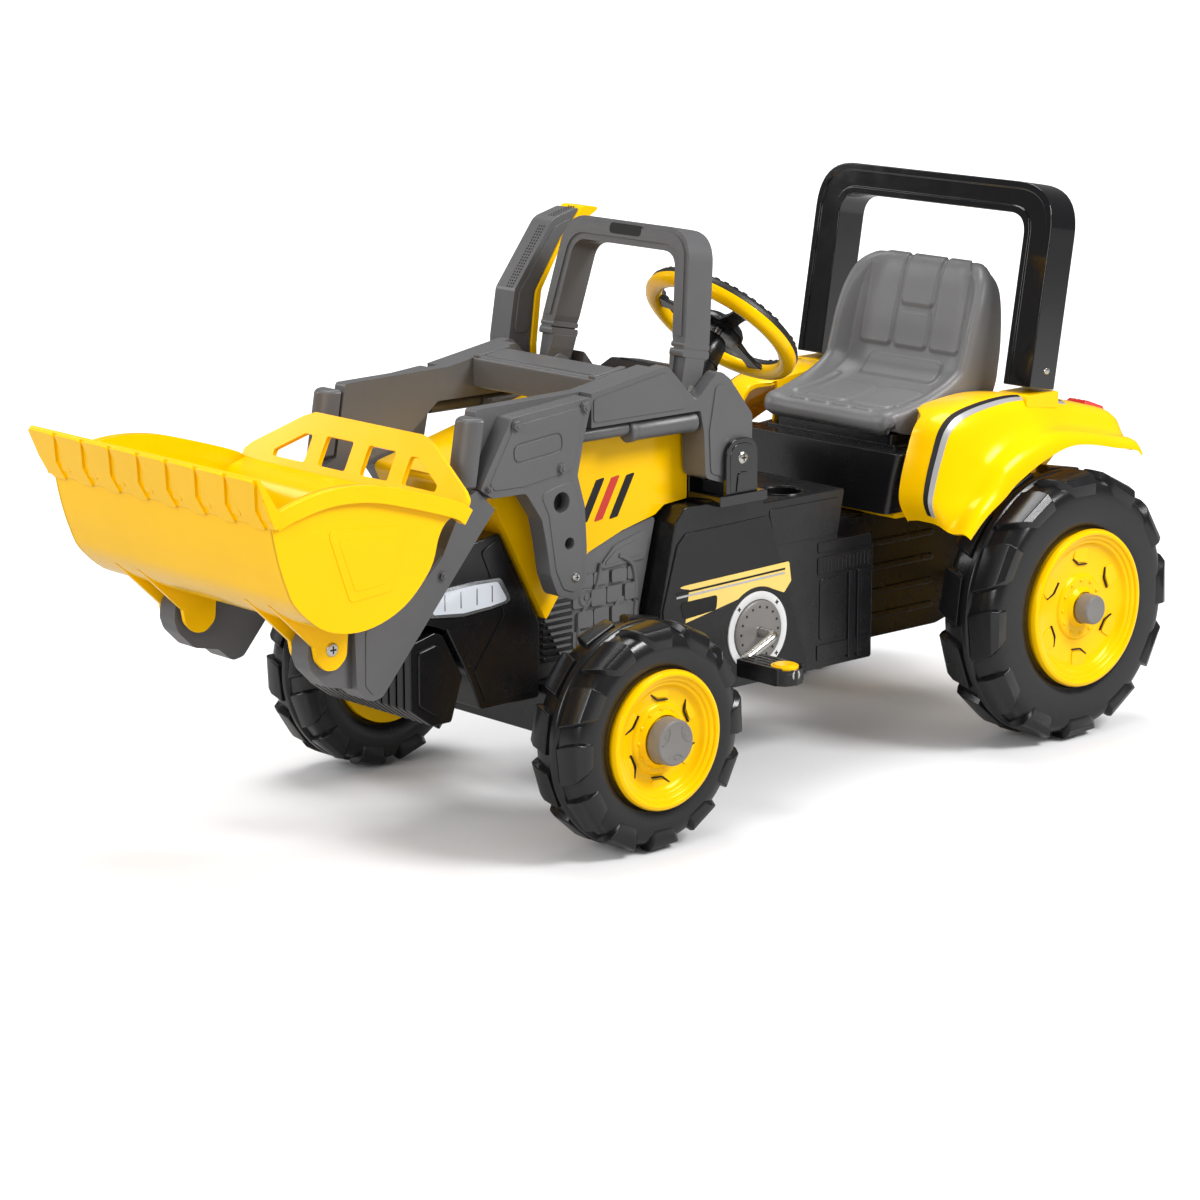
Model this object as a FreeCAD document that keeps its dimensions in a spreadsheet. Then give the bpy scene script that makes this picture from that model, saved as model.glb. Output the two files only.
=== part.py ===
import FreeCAD, Part
import math
import os
import Sketcher

# Ride-on pedal tractor with a front loader.
# Every outline below is drawn from the rear axle: +Y to the rear, +Z up from the ground, +X to the
# driver's left. The sub-parts are then moved back by rear_axle_y, so that the finished tractor stands
# with the middle of its bounding box's floor on the origin.

os.makedirs("parts", exist_ok=True)
doc = FreeCAD.newDocument("PedalLoader")
sheet = doc.addObject("Spreadsheet::Sheet", "Sizes")
Vector = FreeCAD.Vector
ALONG_X = FreeCAD.Rotation(Vector(0, 1, 0), 90)
parts = []
values = {}


def size(name, value):
    """Write one driving dimension (mm or degrees) into the sheet under its own name."""
    values[name] = float(value)
    row = len(values)
    sheet.set("A%d" % row, name)
    sheet.set("B%d" % row, str(value))
    sheet.setAlias("B%d" % row, name)


def sizes(**named):
    for name, value in named.items():
        size(name, value)


# ---- driving dimensions -------------------------------------------------------------------------
sizes(rear_axle_y=537, wheelbase=737)
sizes(rear_radius=175, rear_inner=187, rear_outer=286.5, rear_seat=97, rear_flange=102)
sizes(front_radius=135.5, front_inner=205, front_outer=293.5, front_seat=78, front_flange=82.5)
sizes(axle_radius=8, running_gap=0.05, cap_rear_radius=19.5, cap_front_radius=28)
sizes(chassis_half=131, tunnel_half=78, wall=4, floor_lip=110, bonnet_half=105, fascia_half=100)
sizes(crank_y=-432, crank_z=186, crank_throw=60, crank_rod=6.5, crank_arm_x=165, crank_angle=157.3)
sizes(arm_inner=110, arm_skin=128, arm_outer=150, plate_outer=155, lift_y=-484, lift_z=413)
sizes(tip_y=-1101, tip_z=274.5, hoop_y=-543, hoop_z=497, pin_radius=6, small_pin_radius=4)
sizes(bucket_half=205, lip_half=216, bucket_wall=4)
sizes(king_x=175, king_radius=14, steer_arm=50, tie_z=148)
sizes(wheel_y=-368, wheel_z=545, column_tilt=42.6, rim_radius=95, rim_half_width=11)
sizes(roll_depth=48, roll_lean=9.5, hoop_lean=11)
sizes(chain_x=-46, chain_width=12, pitch=12.7, crank_teeth=22, drive_teeth=15)


def cell(name):
    return "Sizes." + name


def bind(item, prop, expression):
    """Bind a property to the sheet; names of cells in the expression get the sheet's prefix."""
    words = sorted(values, key=len, reverse=True)
    text = expression
    for index, word in enumerate(words):
        text = text.replace(word, "@%d@" % index)
    for index, word in enumerate(words):
        text = text.replace("@%d@" % index, cell(word))
    item.setExpression(prop, text)


def place(item, dy="0", dz="0", dx="0"):
    """Tie a sub-part's position to the sheet, measured from the rear axle's ground point."""
    bind(item, ".Placement.Base.x", dx)
    bind(item, ".Placement.Base.y", "rear_axle_y + (%s)" % dy)
    bind(item, ".Placement.Base.z", dz)


def keep(item, label):
    """Register a finished sub-part under the name its file gets."""
    item.Label = label
    parts.append(item)
    return item


# ---- PartDesign helpers -------------------------------------------------------------------------
def new_body(name):
    body = doc.addObject("PartDesign::Body", name)
    place(body)
    return body


def new_sketch(body, name, plane, offset):
    sketch = body.newObject("Sketcher::SketchObject", name)
    origin = [item for item in body.Origin.OriginFeatures if item.Role == plane][0]
    sketch.AttachmentSupport = [(origin, "")]
    sketch.MapMode = "FlatFace"
    if offset:
        bind(sketch, ".AttachmentOffset.Base.z", offset)
    return sketch


def outline(body, name, points, plane="YZ_Plane", offset=""):
    """A closed polygon whose corners are held by cells of the sheet."""
    sketch = new_sketch(body, name, plane, offset)
    count = len(points)
    for index in range(count):
        first = points[index]
        second = points[(index + 1) % count]
        line = Part.LineSegment(Vector(first[0], first[1], 0), Vector(second[0], second[1], 0))
        sketch.addGeometry(line, False)
    for index in range(count):
        sketch.addConstraint(Sketcher.Constraint("Coincident", index, 2, (index + 1) % count, 1))
    for index, point in enumerate(points):
        for way, letter, value in (("DistanceX", "a", point[0]), ("DistanceY", "b", point[1])):
            alias = "%s_%s%d" % (name, letter, index + 1)
            size(alias, value)
            number = sketch.addConstraint(Sketcher.Constraint(way, -1, 1, index, 1, float(value)))
            sketch.renameConstraint(number, "%s%d" % (letter, index + 1))
            sketch.setExpression("Constraints.%s%d" % (letter, index + 1), cell(alias))
    return sketch


def circle(body, name, across, up, radius, plane="YZ_Plane", offset=""):
    """A circle whose centre and radius are expressions of cells."""
    sketch = new_sketch(body, name, plane, offset)
    sketch.addGeometry(Part.Circle(Vector(5, 5, 0), Vector(0, 0, 1), 5), False)
    sketch.addConstraint(Sketcher.Constraint("DistanceX", -1, 1, 0, 3, 5.0))
    sketch.addConstraint(Sketcher.Constraint("DistanceY", -1, 1, 0, 3, 5.0))
    sketch.addConstraint(Sketcher.Constraint("Radius", 0, 5.0))
    for index, (name_part, text) in enumerate((("across", across), ("up", up), ("radius", radius))):
        sketch.renameConstraint(index, name_part)
        bind(sketch, "Constraints." + name_part, text)
    return sketch


def pad(body, sketch, length, symmetric=False, reverse=False):
    feature = body.newObject("PartDesign::Pad", sketch.Name + "_pad")
    feature.Profile = sketch
    feature.SideType = "Symmetric" if symmetric else "One side"
    feature.Reversed = reverse
    bind(feature, "Length", length)
    doc.recompute([sheet, sketch, feature])
    return feature


def pocket(body, sketch, length, symmetric=False, reverse=False):
    """Cut a sketch away, and make sure that material really went."""
    before = body.Tip.Shape.Volume
    feature = body.newObject("PartDesign::Pocket", sketch.Name + "_cut")
    feature.Profile = sketch
    feature.SideType = "Symmetric" if symmetric else "One side"
    feature.Reversed = reverse
    bind(feature, "Length", length)
    doc.recompute([sheet, sketch, feature])
    if not feature.Shape.Volume < before - 1:
        raise RuntimeError(sketch.Name + " cuts nothing")
    return feature


def revolve(body, sketch):
    feature = body.newObject("PartDesign::Revolution", sketch.Name + "_turn")
    feature.Profile = sketch
    feature.ReferenceAxis = (sketch, ["H_Axis"])
    feature.Angle = 360
    doc.recompute([sheet, sketch, feature])
    return feature


def round_edges(body, corners, radius, first=1, second=2):
    """Fillet the straight edges that stand on the given corners of a padded side outline."""
    base = body.Tip
    names = []
    for number, edge in enumerate(base.Shape.Edges, 1):
        ends = [(vertex.Point[first], vertex.Point[second]) for vertex in edge.Vertexes]
        along = len(ends) == 2 and math.dist(ends[0], ends[1]) < 0.01
        if along and any(math.dist(ends[0], corner) < 0.5 for corner in corners):
            names.append("Edge%d" % number)
    if not names:
        raise RuntimeError(body.Name + " has no edge to round there")
    feature = body.newObject("PartDesign::Fillet", body.Name + "_round%d" % int(radius * 10))
    feature.Base = (base, names)
    feature.Radius = radius
    doc.recompute([feature])
    return feature


def slab(name, points, start, thickness, rounds=()):
    """A plate cut to a side outline, standing from x = start towards +X."""
    body = new_body(name)
    pad(body, outline(body, name + "_side", points, offset=start), thickness)
    for radius, corners in rounds:
        round_edges(body, corners, radius)
    return body


def beam(name, points, width, rounds=()):
    """A block cut to a side outline, centred on the tractor's middle plane."""
    body = new_body(name)
    pad(body, outline(body, name + "_side", points), width, symmetric=True)
    for radius, corners in rounds:
        round_edges(body, corners, radius)
    return body


def bore(body, name, across, up, radius, plane="YZ_Plane", offset="", length="2 * lip_half"):
    return pocket(body, circle(body, name, across, up, radius, plane, offset), length, symmetric=True)


def mirrored(source, name):
    """The right-hand copy of a left-hand sub-part."""
    copy = doc.addObject("Part::Mirroring", name)
    copy.Source = source
    copy.Normal = Vector(1, 0, 0)
    copy.Base = Vector(0, 0, 0)
    return copy


def both_sides(source, name):
    """A left-hand and a right-hand piece that share one node as separate solids."""
    pair = doc.addObject("Part::Compound", name)
    pair.Links = [source, mirrored(source, name + "_right")]
    return keep(pair, name)


def left_and_right(source, name):
    keep(source, name + "_left")
    keep(mirrored(source, name + "_mirror"), name + "_right")


# ---- Part primitives ----------------------------------------------------------------------------
def cylinder(name, radius, length, x="0", y="0", z="0", rotation=ALONG_X):
    """A round bar; by default it lies along +X from x."""
    item = doc.addObject("Part::Cylinder", name)
    bind(item, "Radius", radius)
    bind(item, "Height", length)
    item.Placement = FreeCAD.Placement(Vector(0, 0, 0), rotation)
    place(item, y, z, x)
    return item


def block(name, x, y, z, dx, dy, dz):
    item = doc.addObject("Part::Box", name)
    for prop, text in (("Length", dx), ("Width", dy), ("Height", dz)):
        bind(item, prop, text)
    place(item, y, z, x)
    return item


def fused(name, *shapes):
    item = doc.addObject("Part::MultiFuse", name)
    item.Shapes = list(shapes)
    return item


def cut(name, base, tool):
    item = doc.addObject("Part::Cut", name)
    item.Base = base
    item.Tool = tool
    return item


# ---- chassis, bonnet and front end --------------------------------------------------------------
def make_chassis():
    """One black moulding: wide body with the storage pocket, tunnel to the rear axle, axle rails."""
    body = new_body("chassis_shell")
    wide = [(-596, 120), (-227, 120), (-227, 268), (-292, 283), (-279, 345), (-421, 345), (-421, 357),
            (-552, 357), (-568, 340), (-592, 234)]
    pad(body, outline(body, "chassis_side", wide), "2 * chassis_half", symmetric=True)
    tunnel = [(-240, 126), (-50, 126), (45, 150), (60, 200), (60, 291), (-240, 291)]
    pad(body, outline(body, "tunnel_side", tunnel), "2 * tunnel_half", symmetric=True)
    round_edges(body, [(-568, 340), (-552, 357)], 12)
    hollow = [(-640, 124), (-231, 124), (-231, 265), (-297, 280), (-284, 341), (-425, 341), (-425, 353),
              (-548, 353), (-640, 353)]
    pocket(body, outline(body, "chassis_hollow", hollow), "2 * (chassis_half - wall)", symmetric=True)
    under = [(-590, 110), (-235, 110), (-235, 140), (-590, 140)]
    pocket(body, outline(body, "floor_opening", under), "2 * floor_lip", symmetric=True)
    inside = [(-245, 110), (-48, 110), (40, 140), (55, 198), (55, 287), (-245, 287)]
    pocket(body, outline(body, "tunnel_hollow", inside), "2 * (tunnel_half - wall)", symmetric=True)
    bore(body, "crank_bush_seat", "crank_y", "crank_z", "2 * axle_radius - 2")
    bore(body, "axle_seat", "0", "rear_radius", "axle_radius + running_gap")
    slot = [(-20, -580), (20, -580), (20, -500), (-20, -500)]
    pocket(body, outline(body, "column_slot", slot, "XY_Plane", "crank_z * 2"), "60")
    bulkhead = [(-598, 166), (-570, 166), (-570, 190), (-598, 190)]
    pad(body, outline(body, "bulkhead_side", bulkhead), "2 * (chassis_half - wall / 2)", symmetric=True)
    rails = [(-750, 166), (-590, 166), (-590, 190), (-750, 190)]
    for side in ("60", "-80"):
        name = "rail_right" if side.startswith("-") else "rail_left"
        pad(body, outline(body, name, rails, offset=side), "20")
    well = circle(body, "pocket_well", "92", "-353", "26", "XY_Plane", "crank_z * 2")
    pocket(body, well, "60")
    keep(body, "chassis_shell")


def make_bonnet():
    outer = [(-751, 245), (-842, 415), (-746, 438), (-681, 454), (-590, 472), (-525, 476), (-525, 361),
             (-562, 358), (-577, 348), (-630, 336), (-684, 317), (-729, 274)]
    body = beam("bonnet", outer, "2 * bonnet_half")
    hollow = [(-751, 200), (-754, 259), (-836, 412), (-746, 434), (-681, 450), (-590, 468), (-500, 472),
              (-500, 200)]
    pocket(body, outline(body, "bonnet_hollow", hollow), "2 * (bonnet_half - wall)", symmetric=True)
    keep(body, "bonnet")


def make_engine_panels():
    """Moulded engine relief on both flanks below the bonnet."""
    shape = [(-748, 243), (-729, 272), (-684, 315), (-630, 334), (-572, 345), (-598, 236), (-598, 190),
             (-720, 190)]
    body = slab("engine_side", shape, "bonnet_half - 12", "9")
    both_sides(body, "engine_panels")


def make_fascia():
    """Black nose: grille housing above, rounded belly in front of the axle."""
    outer = [(-757, 150), (-756, 243), (-817, 359), (-868, 350), (-930, 312), (-935, 268), (-898, 256),
             (-866, 197), (-848, 150)]
    body = beam("front_fascia", outer, "2 * fascia_half", [(8, [(-930, 312), (-868, 350)])])
    hollow = [(-700, 154), (-700, 355), (-815, 355), (-866, 346), (-925, 309), (-930, 272), (-895, 260),
              (-862, 198), (-845, 154)]
    pocket(body, outline(body, "fascia_hollow", hollow), "2 * (fascia_half - wall)", symmetric=True)
    keep(body, "front_fascia")
    lens = [(-861, 306), (-818, 305), (-802, 276), (-832, 271), (-875, 269), (-924, 274), (-926, 303)]
    both_sides(slab("headlight", lens, "fascia_half", "3"), "headlights")


def make_weights():
    """A row of identical slab weights hung on the nose."""
    shape = [(-950, 245), (-912, 255), (-900, 250), (-870, 196), (-888, 143), (-917, 143), (-950, 167)]
    body = new_body("weight_stack")
    body.AllowCompound = True
    sizes(weight_thickness=11, weight_pitch=14.2, weight_count=14)
    pad(body, outline(body, "weight_side", shape, offset="-fascia_half + 2"), "weight_thickness")
    pattern = body.newObject("PartDesign::LinearPattern", "weight_row")
    pattern.Originals = [feature for feature in body.Group if feature.TypeId == "PartDesign::Pad"]
    normal = [item for item in body.Origin.OriginFeatures if item.Role == "X_Axis"][0]
    pattern.Direction = (normal, [""])
    bind(pattern, "Length", "weight_pitch * (weight_count - 1)")
    pattern.Occurrences = int(values["weight_count"])
    body.Tip = pattern
    keep(body, "front_weights")


def make_front_axle():
    """Forked steel beam between the front wheels; each fork holds a kingpin."""
    body = new_body("front_axle_beam")
    place(body, "-wheelbase")
    fork = [(-194, 166), (194, 166), (194, 156.5), (158, 156.5), (158, 114.5), (194, 114.5), (194, 106),
            (-194, 106), (-194, 114.5), (-158, 114.5), (-158, 156.5), (-194, 156.5)]
    pad(body, outline(body, "axle_fork", fork, "XZ_Plane"), "30", symmetric=True)
    window = [(-140, 118), (140, 118), (140, 150), (-140, 150)]
    pocket(body, outline(body, "axle_window", window, "XZ_Plane", "9"), "20")
    for side in ("king_x", "-king_x"):
        name = "king_seat_right" if side.startswith("-") else "king_seat_left"
        bore(body, name, side, "0", "axle_radius + running_gap", "XY_Plane", "front_radius", "100")
    keep(body, "front_axle_beam")


def make_knuckle():
    """Steering knuckle: kingpin, stub axle for the wheel, and the arm that the tie rod pushes."""
    barrel = cylinder("knuckle_barrel", "king_radius", "41", "king_x", "-wheelbase", "115", FreeCAD.Rotation())
    kingpin = cylinder("kingpin", "axle_radius", "64", "king_x", "-wheelbase", "104", FreeCAD.Rotation())
    stub = cylinder("stub_axle", "axle_radius", "front_outer + 6 - king_x", "king_x", "-wheelbase",
                    "front_radius")
    arm = block("knuckle_arm", "king_x - 7", "-wheelbase + 6", "tie_z - 9.5", "14", "steer_arm + 3", "8")
    pin = cylinder("knuckle_pin", "small_pin_radius", "18", "king_x", "-wheelbase + steer_arm",
                   "tie_z - 6", FreeCAD.Rotation())
    left_and_right(fused("front_knuckle", barrel, kingpin, stub, arm, pin), "front_knuckle")


def make_tie_rod():
    """Flat bar between the two knuckle arms, with a window for the steering column's finger."""
    body = new_body("tie_rod")
    place(body, "-wheelbase + steer_arm")
    bar = [(-185, -11), (-40, -11), (-24, -20), (24, -20), (40, -11), (185, -11), (185, 11), (40, 11),
           (24, 20), (-24, 20), (-40, 11), (-185, 11)]
    pad(body, outline(body, "tie_bar", bar, "XY_Plane", "tie_z"), "7")
    eye = [(-5, -8.6), (5, -8.6), (5, 5), (-5, 5)]
    for side, shift in (("left", 175), ("right", -175)):
        points = [(across + shift, along) for across, along in eye]
        pocket(body, outline(body, "tie_eye_" + side, points, "XY_Plane", "tie_z"), "20", symmetric=True)
    window = [(-5.8, -15), (5.8, -15), (5.8, 15), (-5.8, 15)]
    pocket(body, outline(body, "tie_window", window, "XY_Plane", "tie_z"), "20", symmetric=True)
    keep(body, "tie_rod")


# ---- wheels -------------------------------------------------------------------------------------
def make_wheel(end, label):
    """Hollow tyre, dished rim with a hub sleeve, and a cap over the axle's end."""
    inner = values[end + "_inner"]
    outer = values[end + "_outer"]
    radius = values[end + "_radius"]
    seat = values[end + "_seat"]
    flange = values[end + "_flange"]
    cap_radius = values["cap_%s_radius" % end]
    along = "0" if end == "rear" else "-wheelbase"
    tyre = new_body(label + "_tyre")
    place(tyre, along, end + "_radius")
    section = [(inner + 5, seat), (inner, seat + 28), (inner + 4, radius - 12), (inner + 14, radius - 2),
               (inner + 30, radius), (outer - 26, radius), (outer - 12, radius - 2), (outer - 3, radius - 12),
               (outer, seat + 28), (outer - 2, seat), (outer - 7, seat), (outer - 5, seat + 28),
               (outer - 14, radius - 10), (inner + 14, radius - 10), (inner + 5, seat + 28),
               (inner + 10, seat)]
    revolve(tyre, outline(tyre, label + "_section", section, "XZ_Plane"))
    rim = new_body(label + "_rim")
    place(rim, along, end + "_radius")
    bore_radius = values["axle_radius"] + values["running_gap"]
    dish = [(outer + 9, flange), (outer + 0.5, flange), (outer + 0.5, seat), (inner + 3, seat),
            (inner + 3, seat - 4), (outer - 5, seat - 4), (outer - 14, seat - 11), (outer - 14, 22),
            (inner + 8, 18), (inner + 8, bore_radius), (outer + 1, bore_radius), (outer + 1, 18),
            (outer - 9, 24), (outer - 9, seat - 13), (outer + 3, seat - 4), (outer + 9, flange - 6)]
    revolve(rim, outline(rim, label + "_dish", dish, "XZ_Plane"))
    cap = new_body(label + "_cap")
    place(cap, along, end + "_radius")
    shell = [(outer + 1, bore_radius), (outer + 1, 18), (outer + 4, cap_radius), (outer + 18, cap_radius),
             (outer + 21, cap_radius - 3), (outer + 21, 0), (outer + 12, 0), (outer + 12, bore_radius)]
    revolve(cap, outline(cap, label + "_profile", shell, "XZ_Plane"))
    for body, piece in ((tyre, "tyre"), (rim, "rim"), (cap, "cap")):
        left_and_right(body, "%s_%s" % (label, piece))


def make_sprocket(name, teeth, across, up):
    """Toothed disc; the gaps between its teeth have the radius of a chain roller."""
    body = new_body(name)
    place(body, across, up)
    pitch_radius = "pitch / (2 * sin(180deg / %s))" % teeth
    pad(body, circle(body, name + "_disc", "0", "0", pitch_radius + " + 3", offset="chain_x + 3"), "6")
    gap = pocket(body, circle(body, name + "_gap", "0", pitch_radius, "3.9", offset="chain_x + 6"), "20",
                 symmetric=True)
    ring = body.newObject("PartDesign::PolarPattern", name + "_gaps")
    ring.Originals = [gap]
    ring.Axis = ([item for item in body.Origin.OriginFeatures if item.Role == "X_Axis"][0], [""])
    ring.Angle = 360
    ring.Occurrences = int(values[teeth])
    body.Tip = ring
    doc.recompute([ring])
    shaft = "crank_rod" if teeth == "crank_teeth" else "axle_radius"
    bore(body, name + "_bore", "0", "0", shaft, length="4 * arm_outer")
    keep(body, name)


def make_chain():
    """The drive chain as one smooth loop lying just outside both sprockets' teeth."""
    ends = []
    for teeth, along, up in (("crank_teeth", values["crank_y"], values["crank_z"]),
                             ("drive_teeth", 0, values["rear_radius"])):
        radius = values["pitch"] / (2 * math.sin(math.pi / values[teeth])) + 4
        ends.append((Vector(values["chain_x"], along, up), radius))
    loops = []
    for grow in (6, 0):
        (near, near_radius), (far, far_radius) = ends
        step = far - near
        heading = math.atan2(step.z, step.y)
        lean = math.acos((near_radius - far_radius) / step.Length)
        points = []
        for centre, radius in ((near, near_radius + grow), (far, far_radius + grow)):
            for turn in (heading + lean, heading - lean):
                points.append(centre + Vector(0, math.cos(turn), math.sin(turn)) * radius)
        back = near - Vector(0, math.cos(heading), math.sin(heading)) * (near_radius + grow)
        front = far + Vector(0, math.cos(heading), math.sin(heading)) * (far_radius + grow)
        edges = [Part.Arc(points[0], back, points[1]).toShape(), Part.makeLine(points[1], points[3]),
                 Part.Arc(points[3], front, points[2]).toShape(), Part.makeLine(points[2], points[0])]
        loops.append(Part.Wire(edges))
    face = Part.Face(loops[0]).cut(Part.Face(loops[1]))
    chain = doc.addObject("Part::Feature", "drive_chain")
    chain.Shape = face.extrude(Vector(values["chain_width"], 0, 0))
    place(chain)
    keep(chain, "drive_chain")


def make_drive():
    """Bent crank rod with its pedals, bearing plates, rear axle, sprockets and chain."""
    lift = "%s * sin(crank_angle * 1deg)" % "-crank_throw"
    reach = "crank_throw * cos(crank_angle * 1deg)"
    pieces = [cylinder("crank_shaft", "crank_rod", "2 * crank_arm_x", "-crank_arm_x", "crank_y", "crank_z")]
    for sign, side in (("", "left"), ("-", "right")):
        start = "crank_arm_x" if not sign else "-crank_arm_x - 92"
        turn = values["crank_angle"] if not sign else values["crank_angle"] + 180
        swing = FreeCAD.Rotation(Vector(0, 0, 1), Vector(0, math.cos(math.radians(turn)),
                                                         -math.sin(math.radians(turn))))
        flip = "" if not sign else "-1 * "
        pieces.append(cylinder("crank_arm_" + side, "crank_rod", "crank_throw", sign + "crank_arm_x",
                               "crank_y", "crank_z", swing))
        pieces.append(cylinder("crank_spindle_" + side, "crank_rod", "92", start,
                               "crank_y + %s(%s)" % (flip, reach), "crank_z + %s(%s)" % (flip, lift)))
        for corner, dy, dz in (("elbow", "0", "0"), ("knee", reach, lift)):
            ball = doc.addObject("Part::Sphere", "crank_%s_%s" % (corner, side))
            bind(ball, "Radius", "crank_rod")
            place(ball, "crank_y + %s(%s)" % (flip, dy), "crank_z + %s(%s)" % (flip, dz),
                  sign + "crank_arm_x")
            pieces.append(ball)
        pedal = new_body("pedal_" + side)
        place(pedal, "crank_y + %s(%s)" % (flip, reach), "crank_z + %s(%s)" % (flip, lift))
        tread = [(176, -22), (243, -22), (254, -14), (258, 0), (254, 14), (243, 22), (176, 22)]
        if sign:
            tread = [(-across, along) for across, along in tread]
        pad(pedal, outline(pedal, "pedal_tread_" + side, tread, "XY_Plane", "-12"), "22")
        bore(pedal, "pedal_bore_" + side, "0", "0", "crank_rod + running_gap", length="600")
        keep(pedal, "pedal_" + side)
        sole = new_body("pedal_insert_" + side)
        place(sole, "crank_y + %s(%s)" % (flip, reach), "crank_z + %s(%s)" % (flip, lift))
        pad(sole, circle(sole, "insert_" + side, sign + "238", "0", "11", "XY_Plane", "10"), "2")
        keep(sole, "pedal_insert_" + side)
    keep(fused("crankshaft", *pieces), "crankshaft")
    plate = cylinder("bush_plate", "38", "9", "chassis_half", "crank_y", "crank_z")
    spigot = cylinder("bush_spigot", "2 * axle_radius - 2", "wall + 8", "chassis_half - wall - 8",
                      "crank_y", "crank_z")
    hole = cylinder("bush_hole", "crank_rod + running_gap", "40", "chassis_half - 20", "crank_y", "crank_z")
    both_sides(cut("crank_bush", fused("bush_solid", plate, spigot), hole), "crank_bushes")
    axle = cylinder("rear_axle", "axle_radius", "2 * (rear_outer + 10)", "-(rear_outer + 10)", "0",
                    "rear_radius")
    keep(axle, "rear_axle")
    make_sprocket("crank_sprocket", "crank_teeth", "crank_y", "crank_z")
    make_sprocket("rear_sprocket", "drive_teeth", "0", "rear_radius")
    make_chain()


# ---- seat, mudguards and roll bar ---------------------------------------------------------------
def make_seat():
    base = new_body("seat_base")
    box = [(-150, -205), (150, -205), (150, -172), (126, -166), (126, 62), (-126, 62), (-126, -166),
           (-150, -172)]
    pad(base, outline(base, "seat_box", box, "XY_Plane", "299"), "80")
    rise = [(-105, -168), (105, -168), (105, 30), (-105, 30)]
    pad(base, outline(base, "seat_rise", rise, "XY_Plane", "379"), "16")
    inside = [(-122, -200), (122, -200), (122, 58), (-122, 58)]
    pocket(base, outline(base, "seat_box_hollow", inside, "XY_Plane", "299"), "76", reverse=True)
    keep(base, "seat_base")
    seat = beam("seat", [(-180, 395), (-186, 408), (-176, 424), (-120, 430), (-70, 462), (-30, 530),
                         (-12, 592), (4, 598), (18, 590), (24, 560), (28, 395)], "252",
                [(14, [(-186, 408), (-176, 424)])])
    hollow = [(-158, 440), (-158, 424), (-138, 423), (-40, 449), (-24, 466), (3, 588), (-40, 640),
              (-158, 640)]
    pocket(seat, outline(seat, "seat_hollow", hollow), "196", symmetric=True)
    under = [(-168, 390), (-168, 408), (-136, 413), (-34, 438), (-14, 456), (14, 580), (20, 560), (20, 390)]
    pocket(seat, outline(seat, "seat_under", under), "236", symmetric=True)
    keep(seat, "seat")


def make_mudguard():
    """One yellow moulding: a fender over each rear wheel, joined by a deck under the seat base."""
    upper = [(-187, 292), (-205, 335), (-176, 418), (-142, 433), (-60, 441), (12, 431), (118, 407),
             (150, 390), (158, 362), (153, 361), (145, 386), (115, 402), (11, 425), (-60, 435), (-139, 427),
             (-171, 413), (-199, 335), (-181, 293)]
    lower = [(-179, 287), (-150, 312), (-118, 331), (-82, 352), (-45, 369), (4, 384), (47, 381), (100, 370),
             (150, 354), (148, 349), (99, 364), (46, 375), (4, 378), (-43, 363), (-79, 347), (-114, 326),
             (-146, 308), (-175, 283)]
    body = new_body("mudguard")
    deck = [(-187, 292), (56, 292), (56, 299), (-187, 299)]
    pad(body, outline(body, "deck_side", deck), "256", symmetric=True)
    shelf = outline(body, "fender_shelf", upper, offset="128")
    pad(body, shelf, "74")
    loft = body.newObject("PartDesign::AdditiveLoft", "fender_slope")
    loft.Profile = outline(body, "fender_high", upper, offset="201")
    loft.Sections = [outline(body, "fender_low", lower, offset="250")]
    loft.Ruled = True
    doc.recompute([sheet, loft.Profile[0], loft.Sections[0][0], loft])
    doc.recompute([loft])
    boss = [(-34, 437), (30, 426), (30, 443), (-34, 443)]
    pad(body, outline(body, "bar_boss", boss, offset="163"), "45")
    copy = body.newObject("PartDesign::Mirrored", "other_fender")
    copy.Originals = [feature for feature in body.Group
                      if feature.TypeId.split("::")[1] in ("Pad", "AdditiveLoft")][1:]
    copy.MirrorPlane = ([item for item in body.Origin.OriginFeatures if item.Role == "YZ_Plane"][0], [""])
    body.Tip = copy
    doc.recompute([copy])
    for side, sign in (("left", 1), ("right", -1)):
        notch = [(120 * sign, -215), (151 * sign, -215), (151 * sign, -165), (120 * sign, -165)]
        pocket(body, outline(body, "seat_notch_" + side, notch, "XY_Plane", "299"), "200", reverse=True)
    keep(body, "mudguard")
    lamp = slab("tail_light", [(112, 412), (118, 407.5), (149, 391), (156, 396), (152, 404)], "148", "34")
    both_sides(lamp, "tail_lights")


def make_roll_bar():
    body = new_body("roll_bar")
    lean = FreeCAD.Rotation(Vector(1, 0, 0), -values["roll_lean"])
    body.Placement = FreeCAD.Placement(Vector(0, 0, 0), lean)
    place(body, "-3", "443")
    bow = [(-208, 4.2), (-163, 4.2), (-163, 222), (163, 222), (163, 4.2), (208, 4.2), (208, 262),
           (-208, 262)]
    pad(body, outline(body, "bow", bow, "XZ_Plane"), "roll_depth", symmetric=True)
    round_edges(body, [(-208, 262), (208, 262)], 58, 0, 2)
    round_edges(body, [(-163, 222), (163, 222)], 26, 0, 2)
    keep(body, "roll_bar")


# ---- steering and dashboard ---------------------------------------------------------------------
def column_frame(item, shift="0"):
    """Stand a sub-part's +Z on the steering column's axis, shift mm up from the wheel's centre."""
    tilt = values["column_tilt"]
    item.Placement = FreeCAD.Placement(Vector(0, 0, 0), FreeCAD.Rotation(Vector(1, 0, 0), -tilt))
    place(item, "wheel_y + (%s) * sin(column_tilt * 1deg)" % shift,
          "wheel_z + (%s) * cos(column_tilt * 1deg)" % shift)
    return item


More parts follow.
